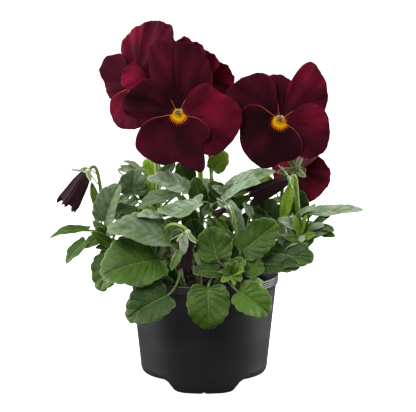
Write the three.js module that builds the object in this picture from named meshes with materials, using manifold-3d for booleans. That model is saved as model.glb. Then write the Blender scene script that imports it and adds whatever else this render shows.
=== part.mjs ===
// A potted pansy: a round black nursery pot, its soil, and the leafy stems, blooms and nodding
// buds that grow out of it. Millimetres, +Z up; the origin is the centre of the pot's base and
// the plant's open blooms look towards -Y.
import * as THREE from "three";
import { mergeVertices } from "three/addons/utils/BufferGeometryUtils.js";
import Module from "manifold-3d";

const wasm = await Module();
wasm.setup();

// ---- Driving dimensions -------------------------------------------------------------------
const POT_RIM_RADIUS = 52.5;
const POT_HEIGHT = 78;
const POT_WALL = 1.3;
const POT_FLOOR = 8; // underside of the floor, above the feet
const FLOOR_THICKNESS = 1.6;
const POT_BASE_RADIUS = 41.6; // the floor's flat underside, inside the rounded lower corner
const POT_WALL_FOOT_RADIUS = 44.7; // wall just above the rounded lower corner
const CORNER_HEIGHT = 6.5; // of that corner, above the floor's underside
const CORNER_INSET = 3; // of the inside's lower corner
const POT_WALL_TOP_RADIUS = 51; // wall just under the rim band
const RIM_BAND = 6.5;
const POT_SIDES = 36;
const SOIL_SIDES = 24;
// The feet carry the wall's outside down to the ground: (outer radius, height) points and the
// radius of their inside. Two gaps between them, turned in degrees from the back, leave a narrow
// foot in front and a wide one behind; a gap's half width is given at a few heights.
const FEET = {
  outside: [
    [42, 0],
    [43.4, 4.5],
    [44.2, 9],
  ],
  inside: 39,
  gapTurns: [99, -99],
  gap: [
    [33.4, -1],
    [31.7, 7.2],
    [26, 9.2],
    [18, 11],
    [13, 16],
  ],
};
const DRAINS = { count: 3, radius: 4, ringRadius: 27, sides: 8 };

const SOIL_TOP = 70;
const SOIL_RELIEF = 1.1;
const CLEARANCE = 0.3; // between pieces that rest on each other
const HOLE_CLEARANCE = 0.5;
const HOLE_DEPTH = 10;
const HOLE_SIDES = 8;

const STEM_RADIUS = 1.7;
const PETIOLE_RADIUS = 0.85;
const SHORT_PETIOLE = 35;
const SMALL_LEAF = 10; // width under which a blade is flat
const PETIOLE_GAP = 0.6; // between the last step of a stalk and the first of its blade
const PEDUNCLE_RADIUS = 1.25;
const BLADE_THICKNESS = 0.7;
const PETAL_THICKNESS = 0.75;
const SEPAL = { count: 5, length: 13, width: 4.6, back: 5 };
const HUB = { radius: 3.2, back: 4.4, front: 2.9 };
const PISTIL_RADIUS = 1.7;

// ---- Materials ----------------------------------------------------------------------------
const matte = (color, roughness) =>
  new THREE.MeshStandardMaterial({ color, roughness, metalness: 0 });
const POT_PLASTIC = matte(0x1c1c1e, 0.45);
const SOIL_PEAT = matte(0x17120e, 0.95);
const LEAF_GREEN = matte(0x3f6a26, 0.6);
const PETAL_RED = matte(0x5a0c20, 0.8);
const BUD_PURPLE = matte(0x2a141e, 0.8);
const PISTIL_GREEN = matte(0x93a02c, 0.5);

// ---- Vectors, curves and solids -----------------------------------------------------------
const vec = (p) => new THREE.Vector3(...p);
const UP = vec([0, 0, 1]);
const along = (p, d, s) => p.clone().addScaledVector(d, s);
const bezier = (points) => new THREE.CubicBezierCurve3(...points);
const radians = THREE.MathUtils.degToRad;

// A closed geometry as a solid.
function solid(geometry) {
  geometry.deleteAttribute("normal");
  geometry.deleteAttribute("uv");
  const merged = mergeVertices(geometry, 1e-4);
  const triVerts = new Uint32Array(merged.index.array);
  const vertProperties = new Float32Array(merged.attributes.position.array);
  return new wasm.Manifold(new wasm.Mesh({ numProp: 3, vertProperties, triVerts }));
}

const join = (solids) => solids.reduce((whole, piece) => whole.add(piece));

// A solid as a named mesh.
function mesh(name, whole, material) {
  const made = whole.getMesh();
  const geometry = new THREE.BufferGeometry();
  geometry.setAttribute("position", new THREE.BufferAttribute(made.vertProperties, 3));
  geometry.setIndex(new THREE.BufferAttribute(made.triVerts, 1));
  geometry.computeVertexNormals();
  const node = new THREE.Mesh(geometry, material);
  node.name = name;
  return node;
}

function tube(curve, radius, steps, sides) {
  const turn = (k) => (2 * Math.PI * k) / sides;
  const ring = Array.from(
    { length: sides },
    (_, k) => new THREE.Vector2(radius * Math.cos(turn(k)), radius * Math.sin(turn(k))),
  );
  const options = { steps, extrudePath: curve, bevelEnabled: false };
  return solid(new THREE.ExtrudeGeometry(new THREE.Shape(ring), options));
}

// The grid of points surface(u, v), u 0..1 along the rows and v -1..1 across them.
function grid(rows, columns, surface) {
  const row = (i) =>
    Array.from({ length: columns + 1 }, (_, j) => surface(i / rows, (2 * j) / columns - 1));
  return Array.from({ length: rows + 1 }, (_, i) => row(i));
}

// A closed sheet of even thickness about rows of points. Both faces are split into triangles
// alike.
function sheet(points, thickness) {
  const rows = points.length - 1;
  const columns = points[0].length - 1;
  const at = (i, j) => i * (columns + 1) + j;
  const flat = points.flat();
  const front = [];
  for (let i = 0; i < rows; i++)
    for (let j = 0; j < columns; j++) {
      const [a, b, c, d] = [at(i, j), at(i + 1, j), at(i + 1, j + 1), at(i, j + 1)];
      front.push(...(j < columns / 2 ? [a, b, c, a, c, d] : [a, b, d, b, c, d]));
    }
  const normals = flat.map(() => new THREE.Vector3());
  for (let t = 0; t < front.length; t += 3) {
    const corners = front.slice(t, t + 3);
    const [p, q, r] = corners.map((k) => flat[k]);
    const normal = q.clone().sub(p).cross(r.clone().sub(p));
    corners.forEach((k) => normals[k].add(normal));
  }
  const face = (side) => flat.map((p, k) => along(p, normals[k].normalize(), side * thickness));

  const rim = [];
  for (let j = 0; j < columns; j++) rim.push([at(0, j + 1), at(0, j)]);
  for (let i = 0; i < rows; i++) rim.push([at(i, 0), at(i + 1, 0)]);
  for (let j = 0; j < columns; j++) rim.push([at(rows, j), at(rows, j + 1)]);
  for (let i = rows; i > 0; i--) rim.push([at(i, columns), at(i - 1, columns)]);
  const back = front.map((k) => k + flat.length).reverse();
  const faces = [...front, ...back];
  for (const [k, l] of rim) {
    const [m, n] = [k + flat.length, l + flat.length];
    faces.push(k, m, l, l, m, n);
  }
  const geometry = new THREE.BufferGeometry().setFromPoints([...face(0.5), ...face(-0.5)]);
  geometry.setIndex(faces);
  return solid(geometry);
}

// ---- Leaves -------------------------------------------------------------------------------
const LEAF = { fold: 0.22, arch: 0.08, wave: 0.05, toothDepth: 0.09 };
const RIPPLE_PHASES = [2.4, 0.6]; // of a blade's left edge and its right
const teethOf = (leaf) => (leaf.width > 17 ? 3 : 2); // scallops down each side of a leaf
const OUTLINE = { start: 0.08, power: 0.86 };
const LANCE = { fullness: 0.85, tip: 0.04 }; // a narrow leaf's sides, and its tip's half width
const ROUND = { fullness: 0.45, tip: 0.28 }; // a leaf's that is nearly as wide as it is long
const SHAPES = [0.3, 0.75]; // width to length, of a narrow leaf and of a round one
const BASE_LOBE = 0.1; // how far the blade's base corners reach back, as a share of its length

// Half the blade's width at u, as a share of its greatest half width.
function outline(u, leaf, toothDepth) {
  const length = vec(leaf.tip).distanceTo(vec(leaf.base));
  const round = THREE.MathUtils.smoothstep(leaf.width / length, ...SHAPES);
  const fullness = THREE.MathUtils.lerp(LANCE.fullness, ROUND.fullness, round);
  const tip = THREE.MathUtils.lerp(LANCE.tip, ROUND.tip, round);
  const s = (OUTLINE.start + (1 - OUTLINE.start) * u) ** OUTLINE.power;
  const smooth = Math.max(Math.sin(Math.PI * s), 0) ** fullness;
  const scallop = Math.abs(Math.sin(Math.PI * teethOf(leaf) * u)) - 1;
  return Math.max(smooth * (1 + toothDepth * scallop), tip);
}

// A leaf's own axes: along its midrib, out of its upper face, and across it.
function leafAxes(leaf) {
  const forward = vec(leaf.tip).sub(vec(leaf.base)).normalize();
  const face = vec(leaf.face);
  const normal = face.addScaledVector(forward, -face.dot(forward)).normalize();
  return { forward, normal, side: normal.clone().cross(forward) };
}

function leafSurface(leaf) {
  const { fold, arch, wave, toothDepth } = { ...LEAF, ...leaf };
  const { forward, normal, side } = leafAxes(leaf);
  const base = vec(leaf.base);
  const length = vec(leaf.tip).distanceTo(base);
  return (u, v) => {
    const y = (leaf.width / 2) * outline(u, leaf, toothDepth) * v;
    const lobe = BASE_LOBE * length * (1 - u) ** 3 * v * v;
    const ripple = Math.sin(3 * Math.PI * u + RIPPLE_PHASES[v > 0 ? 1 : 0]);
    const bow = arch * length * 4 * u * (1 - u);
    const height = bow + Math.abs(y) * fold + wave * leaf.width * v * v * ripple;
    const point = along(base, forward, length * u - lobe);
    return along(along(point, side, y), normal, height);
  };
}

// The stalk of a leaf, from the stem to just short of the blade.
function petiolePath(stem, leaf) {
  const { forward } = leafAxes(leaf);
  const start = stem.getPoint(leaf.at);
  const end = along(vec(leaf.base), forward, -PETIOLE_GAP);
  const reach = end.distanceTo(start);
  return bezier([start, along(start, UP, 0.3 * reach), along(end, forward, -0.35 * reach), end]);
}

// A leaf is one thin piece: a narrow stalk, which widens into the blade.
function leafSolid(stem, leaf) {
  const path = petiolePath(stem, leaf);
  const { side } = leafAxes(leaf);
  const stalk = (u, v) => {
    const heading = path.getTangent(u);
    const across = along(side, heading, -side.dot(heading)).normalize();
    return along(path.getPoint(u), across, PETIOLE_RADIUS * v);
  };
  const steps = path.getLength() < SHORT_PETIOLE ? 2 : 3;
  const columns = leaf.width < SMALL_LEAF ? 1 : 2;
  const blade = grid(2 * teethOf(leaf), columns, leafSurface(leaf));
  const points = [...grid(steps, columns, stalk), ...blade];
  return sheet(points, BLADE_THICKNESS);
}

// ---- Flowers ------------------------------------------------------------------------------
// A flower's own axes: the way it faces, its up, and its right as its viewer sees it.
function flowerAxes(flower) {
  const face = vec(flower.face).normalize();
  const top = vec(flower.up);
  top.addScaledVector(face, -top.dot(face)).normalize();
  return { face, top, right: top.clone().cross(face) };
}

// A direction in the flower's plane, at an angle clockwise from its up.
function spoke({ top, right }, angle) {
  return top.clone().multiplyScalar(Math.cos(angle)).addScaledVector(right, Math.sin(angle));
}

const PETAL_ROOT = 0.05; // share of the reach where a petal leaves the hub

// The value at v, -1..1, along a row of evenly spaced values.
function sample(values, v) {
  const place = ((Math.min(Math.max(v, -1), 1) + 1) / 2) * (values.length - 1);
  const i = Math.min(Math.floor(place), values.length - 2);
  return THREE.MathUtils.lerp(values[i], values[i + 1], place - i);
}

function petalSurface(flower, petal) {
  const axes = flowerAxes(flower);
  const centre = vec(flower.centre);
  return (u, v) => {
    const reach = sample(petal.reach, v);
    const r = reach * (PETAL_ROOT + (1 - PETAL_ROOT) * u);
    const angle = radians(THREE.MathUtils.lerp(petal.from, petal.to, (v + 1) / 2));
    const ruffle = petal.ruffle * Math.sin(1.5 * Math.PI * v + petal.phase) * u ** 3;
    const cup = petal.lift * u * u + (petal.cup ?? 0) * v * v * u;
    const height = petal.layer + reach * (cup + ruffle);
    return along(along(centre, spoke(axes, angle), r), axes.face, height);
  };
}

// A lathe profile of [radius, height] pairs, stood at a point along a direction.
function turned(profile, sides, at, direction) {
  const geometry = new THREE.LatheGeometry(
    profile.map(([r, h]) => new THREE.Vector2(r, h)),
    sides,
  );
  geometry.applyQuaternion(
    new THREE.Quaternion().setFromUnitVectors(new THREE.Vector3(0, 1, 0), direction),
  );
  geometry.translate(...at);
  return solid(geometry);
}

function petalsSolid(flower) {
  const { face } = flowerAxes(flower);
  const { radius, back, front } = HUB;
  const profile = [
    [0, -back],
    [radius * 0.8, -back],
    [radius, front],
    [0, front],
  ];
  const petals = flower.petals.map((petal) =>
    sheet(grid(2, petal.reach.length - 1, petalSurface(flower, petal)), PETAL_THICKNESS),
  );
  return join([turned(profile, 6, vec(flower.centre), face), ...petals]);
}

function pistilSolid(flower) {
  const { face } = flowerAxes(flower);
  const r = PISTIL_RADIUS;
  const profile = [
    [0, 0],
    [r * 0.8, 0],
    [r, r * 0.7],
    [r * 0.6, r * 1.5],
    [0, r * 1.7],
  ];
  const seat = along(vec(flower.centre), face, HUB.front + CLEARANCE);
  return turned(profile, 5, seat, face);
}

// The folded petals of a nodding bud: a fluted bell that hangs from its calyx.
const BELL = [
  [0, 0],
  [0.5, 0.01],
  [0.74, 0.3],
  [0.88, 0.65],
  [1, 0.92],
  [0.9, 1],
  [0, 0.86],
];
const BELL_SIDES = 10;
const FLUTES = { count: 5, depth: 0.22, hem: 0.07 }; // the hem's waves lag the flutes by 1 radian

function bellSolid(bud) {
  const geometry = new THREE.LatheGeometry(
    BELL.map(([r, h]) => new THREE.Vector2(r * bud.radius, h * bud.length)),
    BELL_SIDES,
  );
  const { face, top, right } = flowerAxes(bud);
  const p = geometry.attributes.position;
  const seat = along(vec(bud.centre), face, CLEARANCE);
  for (let i = 0; i < p.count; i++) {
    const [x, h, z] = [p.getX(i), p.getY(i), p.getZ(i)];
    const turn = Math.atan2(z, x);
    const spread = Math.hypot(x, z) / bud.radius;
    const flute = 1 + FLUTES.depth * spread * Math.sin(FLUTES.count * turn);
    const hem = h * (1 + FLUTES.hem * spread * Math.sin(FLUTES.count * turn + 1));
    const point = along(seat, face, hem);
    point.addScaledVector(right, -x * flute).addScaledVector(top, z * flute * bud.flat);
    p.setXYZ(i, ...point);
  }
  return solid(geometry);
}

function sepalSurface(flower, angle, seat) {
  const axes = flowerAxes(flower);
  const out = spoke(axes, angle);
  const length = SEPAL.length * (flower.sepalScale ?? 1);
  const droop = SEPAL.back * (flower.sepalBack ?? 1);
  return (u, v) => {
    const width = SEPAL.width * Math.sin(Math.PI * (0.12 + 0.8 * u));
    const across = axes.face.clone().cross(out);
    const point = along(seat, out, 1 + length * u);
    return along(along(point, across, (width * v) / 2), axes.face, -droop * u * (1.6 - 0.6 * u));
  };
}

const CUP = [
  [0, -1.4],
  [2.2, 0.2],
  [1.9, 2.4],
  [0, 2.4],
];
const CUP_DEPTH = CUP.at(-1)[1];

// The middle of the calyx's cup, whose rim lies just behind the flower.
function cupSeat(flower) {
  const { face } = flowerAxes(flower);
  const behind = flower.petals ? HUB.back + CLEARANCE : 0;
  return along(vec(flower.centre), face, -behind - CUP_DEPTH);
}

// The stalk of a flower, from a point on the stem.
function stalkPath(stem, flower) {
  const { face } = flowerAxes(flower);
  const neck = along(cupSeat(flower), face, 0.2);
  const start = stem.getPoint(flower.at);
  const hook = vec(flower.hook);
  const rise = flower.rise ? vec(flower.rise) : along(start, UP, 0.5 * neck.distanceTo(start));
  return bezier([start, rise, neck.clone().add(hook), neck]);
}

function calyxSolids(stem, flower) {
  const { face } = flowerAxes(flower);
  const seat = cupSeat(flower);
  const sepals = Array.from({ length: SEPAL.count }, (_, k) => {
    const angle = (2 * Math.PI * (k + 0.5)) / SEPAL.count;
    return sheet(grid(2, 1, sepalSurface(flower, angle, along(seat, face, 0.6))), BLADE_THICKNESS);
  });
  const stalk = tube(stalkPath(stem, flower), flower.stalk ?? PEDUNCLE_RADIUS, 6, 4);
  return [turned(CUP, 6, seat, face), stalk, ...sepals];
}

// ---- The pot and the soil -----------------------------------------------------------------
// A box-like cutter whose outline is drawn in X and Z and which runs outwards along +Y.
function radialCutter(outlinePoints, from, to, turn) {
  const shape = new THREE.Shape(outlinePoints.map(([x, z]) => new THREE.Vector2(x, z)));
  const cutter = new THREE.ExtrudeGeometry(shape, { depth: to - from, bevelEnabled: false });
  cutter.rotateX(Math.PI / 2);
  cutter.translate(0, to, 0);
  cutter.rotateZ(turn);
  return solid(cutter);
}

const CORNER_TOP = POT_FLOOR + CORNER_HEIGHT;
const BAND_BOTTOM = POT_HEIGHT - RIM_BAND;
const INNER_FLOOR = POT_FLOOR + FLOOR_THICKNESS;
const INNER_FOOT_RADIUS = POT_WALL_FOOT_RADIUS - POT_WALL;

// A solid turned around the pot's axis from (radius, height) points.
function turnedRing(profile, sides) {
  const lathe = new THREE.LatheGeometry(
    profile.map(([r, z]) => new THREE.Vector2(r, z)),
    sides,
  );
  lathe.rotateX(Math.PI / 2);
  return solid(lathe);
}

function footRing() {
  let ring = turnedRing(
    [
      [FEET.inside, POT_FLOOR + 0.6],
      [FEET.inside, 0],
      ...FEET.outside,
      [POT_WALL_FOOT_RADIUS, CORNER_TOP],
      [POT_WALL_FOOT_RADIUS - 0.8, CORNER_TOP],
      [POT_BASE_RADIUS - 0.6, POT_FLOOR + 0.6],
      [FEET.inside, POT_FLOOR + 0.6],
    ],
    POT_SIDES,
  );
  const outline = [...FEET.gap, ...FEET.gap.toReversed().map(([x, z]) => [-x, z])];
  for (const turn of FEET.gapTurns) {
    ring = ring.subtract(radialCutter(outline, 20, 60, radians(turn)));
  }
  return ring;
}

function potSolid() {
  const body = turnedRing(
    [
      [0, POT_FLOOR],
      [POT_BASE_RADIUS, POT_FLOOR],
      [POT_WALL_FOOT_RADIUS - 1.4, POT_FLOOR + 0.4 * CORNER_HEIGHT],
      [POT_WALL_FOOT_RADIUS, CORNER_TOP],
      [POT_WALL_TOP_RADIUS, BAND_BOTTOM],
      [POT_RIM_RADIUS - 0.5, BAND_BOTTOM + 0.4],
      [POT_RIM_RADIUS, POT_HEIGHT - 0.8],
      [POT_RIM_RADIUS - 0.6, POT_HEIGHT],
      [POT_RIM_RADIUS - 2, POT_HEIGHT],
      [POT_WALL_TOP_RADIUS - POT_WALL, BAND_BOTTOM],
      [INNER_FOOT_RADIUS, CORNER_TOP],
      [INNER_FOOT_RADIUS - CORNER_INSET, INNER_FLOOR],
      [0, INNER_FLOOR],
    ],
    POT_SIDES,
  );
  let pot = body.add(footRing());
  for (let k = 0; k < DRAINS.count; k++) {
    const { radius, ringRadius, sides, count } = DRAINS;
    const drain = new THREE.CylinderGeometry(radius, radius, 4 * FLOOR_THICKNESS, sides);
    drain.rotateX(Math.PI / 2);
    drain.translate(0, ringRadius, POT_FLOOR);
    drain.rotateZ((2 * Math.PI * k) / count);
    pot = pot.subtract(solid(drain));
  }
  return pot;
}

// The height of the soil's surface above or below its mean, at a point.
const soilRelief = (x, y) =>
  SOIL_RELIEF * (Math.sin(0.21 * x + 1) * Math.cos(0.17 * y) + 0.5 * Math.sin(0.33 * y - 0.2 * x));

function soilSolid(roots) {
  const climb = (SOIL_TOP - CORNER_TOP) / (BAND_BOTTOM - CORNER_TOP);
  const wall = THREE.MathUtils.lerp(POT_WALL_FOOT_RADIUS, POT_WALL_TOP_RADIUS, climb);
  const edge = wall - POT_WALL - CLEARANCE;
  const profile = [
    [0, INNER_FLOOR + CLEARANCE],
    [INNER_FOOT_RADIUS - CORNER_INSET - CLEARANCE, INNER_FLOOR + CLEARANCE],
    [INNER_FOOT_RADIUS - CLEARANCE, CORNER_TOP + CLEARANCE],
    [edge, SOIL_TOP],
    [edge * 0.7, SOIL_TOP],
    [edge * 0.35, SOIL_TOP],
    [0, SOIL_TOP],
  ];
  const lathe = new THREE.LatheGeometry(
    profile.map(([r, z]) => new THREE.Vector2(r, z)),
    SOIL_SIDES,
  );
  lathe.rotateX(Math.PI / 2);
  const p = lathe.attributes.position;
  for (let i = 0; i < p.count; i++) {
    const [x, y, z] = [p.getX(i), p.getY(i), p.getZ(i)];
    const inside = Math.hypot(x, y) < edge - 1;
    if (z === SOIL_TOP && inside) p.setZ(i, z + soilRelief(x, y));
  }
  let soil = solid(lathe);
  const radius = STEM_RADIUS + HOLE_CLEARANCE;
  for (const [x, y] of roots) {
    const hole = new THREE.CylinderGeometry(radius, radius, 2 * HOLE_DEPTH, HOLE_SIDES);
    hole.rotateX(Math.PI / 2);
    hole.translate(x, y, SOIL_TOP);
    soil = soil.subtract(solid(hole));
  }
  return soil;
}

// ---- The plant's plan ---------------------------------------------------------------------
// A stem rises upright out of its hole at root, then bends through the points of its path.
// Each leaf and flower names the place on the stem, 0 to 1, where its stalk leaves it. A leaf
// has the points where its blade starts and ends, its width, and the way its face looks.
const SKY = [0, -0.45, 0.9];
const VIEWER = [0, -0.9, 0.42];
const FRONT_UP = [0, -0.7, 0.7];

// A bloom's petals, seen from its front: each fans out clockwise between two angles from the
// bloom's up, and reach holds its length at even steps between them. The later ones overlap
// the earlier ones.
const PETAL_POSE = [
  { layer: -0.9, lift: -0.02, ruffle: 0.02, phase: 0.4 },
  { layer: 0.1, lift: 0.02, ruffle: 0.02, phase: 1.6 },
  { layer: 1.1, lift: 0.06, ruffle: 0.02, phase: 0.2 },
  { layer: 1.2, lift: 0.06, ruffle: 0.02, phase: 2.8 },
  { layer: 2.2, lift: 0.09, ruffle: 0.02, phase: 0.9 },
];
const petals = (fans) => fans.map((fan, k) => ({ ...PETAL_POSE[k], ...fan }));

const BLOOM_FRONT = {
  name: "bloom_front",
  at: 0.75,
  centre: [-17.8, -24, 195.5],
  face: [0.02, -0.98, 0.14],
  up: [0, 0, 1],
  rise: [3, -8, 160],
  hook: [3, 10, 12],
  stalk: 1.8,
  petals: petals([
    { from: -40, to: 14, reach: [28, 39, 51.5, 53, 50.5, 49, 46] },
    { from: -4, to: 66, reach: [48, 49.5, 46.5, 41.5, 35, 29.5, 25] },
    { from: -100, to: -28, reach: [27, 38, 39.5, 37, 34.5, 31.5, 27] },
    { from: 26, to: 154, reach: [17, 29, 31.5, 42, 44.5, 42, 39.5, 31] },
    { from: 104, to: 260, reach: [15, 24, 27, 28, 43.5, 38.5, 34, 37, 38, 38.5, 37, 30, 21] },
  ]),
};

const BLOOM_RIGHT = {
  name: "bloom_right",
  at: 0.8,
  centre: [53, -18, 190],
  face: [-0.06, -0.98, 0.12],
  up: [0, 0, 1],
  rise: [44, 6, 140],
  hook: [-2, 10, 10],
  petals: petals([
    { from: -26, to: 30, reach: [30, 31.6, 31.8, 31.2, 29, 27.5, 26] },
    { from: 13, to: 88, reach: [25.5, 45, 44, 41.2, 37.2, 32.8, 27] },
    { from: -80, to: -8, reach: [35, 42, 41.7, 39.6, 37.3, 34.7, 27] },
    { from: 54, to: 156, reach: [20, 29.8, 33.8, 35.9, 38, 34.6, 27] },
    { from: 122, to: 306, reach: [13, 25, 29, 29.5, 35, 35, 32.8, 29.8, 27, 26.6, 19] },
  ]),
};

const BLOOM_LEFT = {
  name: "bloom_left",
  at: 0.8,
  centre: [-47, 5, 211],
  face: [-0.55, -0.8, 0.15],
  up: [0, 0, 1],
  rise: [-34, 14, 160],
  hook: [6, 9, 10],
  stalk: 1.6,
  petals: petals([
    { from: -42, to: 22, reach: [26, 34, 38, 41, 44, 46, 40] },
    { from: 0, to: 64, reach: [43, 47, 49, 50, 43, 37, 30] },
    { from: -124, to: -30, reach: [23.5, 24.8, 27.2, 32, 32.7, 28.7, 24] },
    { from: 10, to: 92, reach: [18, 25, 28, 29, 29, 26, 21], lift: 0.3 },
    { from: 118, to: 242, reach: [21, 27, 30, 31.5, 31.5, 28, 21] },
  ]),
};

const BLOOM_BACK = {
  name: "bloom_back",
  at: 0.8,
  centre: [2, 12, 213],
  face: [0.5, 0.6, 0.55],
  up: [0, 0, 1],
  rise: [12, 20, 160],
  hook: [-7, -7, 4],
  petals: petals([
    { from: -50, to: 16, reach: [32, 38.5, 41, 43, 37] },
    { from: -8, to: 60, reach: [38, 40, 36, 30, 22] },
    { from: -128, to: -34, reach: [16, 22.5, 28, 27] },
    { from: 38, to: 132, reach: [20, 28, 28, 20] },
    { from: 112, to: 250, reach: [18, 27, 27, 18] },
  ]),
};

const BLOOM_LOW = {
  name: "bloom_low",
  at: 0.7,
  centre: [69, 6, 150],
  face: [0.62, 0.72, -0.25],
  up: [0, 0, 1],
  rise: [50, 2, 130],
  hook: [-8, -6, 7],
  petals: petals([
    { from: -50, to: 16, reach: [20, 26, 27, 26, 21] },
    { from: -8, to: 60, reach: [22, 26, 26, 25, 19] },
    { from: -128, to: -34, reach: [22.5, 25.5, 19.5, 15] },
    { from: 38, to: 132, reach: [20, 28, 28, 19] },
    { from: 112, to: 250, reach: [14, 20, 22.5, 23] },
  ]),
};

const BUD_LEFT = {
  name: "bud_left",
  at: 0.85,
  centre: [-82, -7, 150.5],
  face: [-0.52, -0.15, -0.84],
  up: [-0.85, 0, 0.5],
  rise: [-74, -8, 134],
  hook: [9, 1, 12],
  length: 26,
  radius: 6.2,
  flat: 1.25,
  sepalBack: -1.1,
};

const BUD_CENTRE = {
  name: "bud_centre",
  at: 1,
  centre: [-11.5, -46.5, 114],
  face: [-0.18, -0.15, -1],
  up: [0, -1, 0],
  rise: [-30, -36, 124],
  hook: [-4, 0, 6],
  length: 23,
  radius: 6.6,
  flat: 0.6,
  sepalScale: 0.8,
  sepalBack: -1.4,
};

const BUD_RIGHT = {
  name: "bud_right",
  at: 0.9,
  centre: [58.5, -17, 147.5],
  face: [-0.88, -0.12, -0.42],
  up: [-0.5, 0, 0.8],
  rise: [63, -14, 132],
  hook: [6, 1, 8],
  length: 27,
  radius: 5.2,
  flat: 1.25,
  stalk: 1.7,
  sepalBack: -0.5,
};

const BUD_SMALL = {
  name: "bud_small",
  at: 0.9,
  centre: [15, -42, 131.5],
  face: [-0.8, -0.3, -0.45],
  up: [-0.5, 0, 0.8],
  rise: [20, -39, 112],
  hook: [4, 2, 3],
  stalk: 1.4,
  length: 9,
  radius: 3.4,
  flat: 0.8,
  sepalScale: 0.75,
  sepalBack: -0.4,
};

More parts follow.
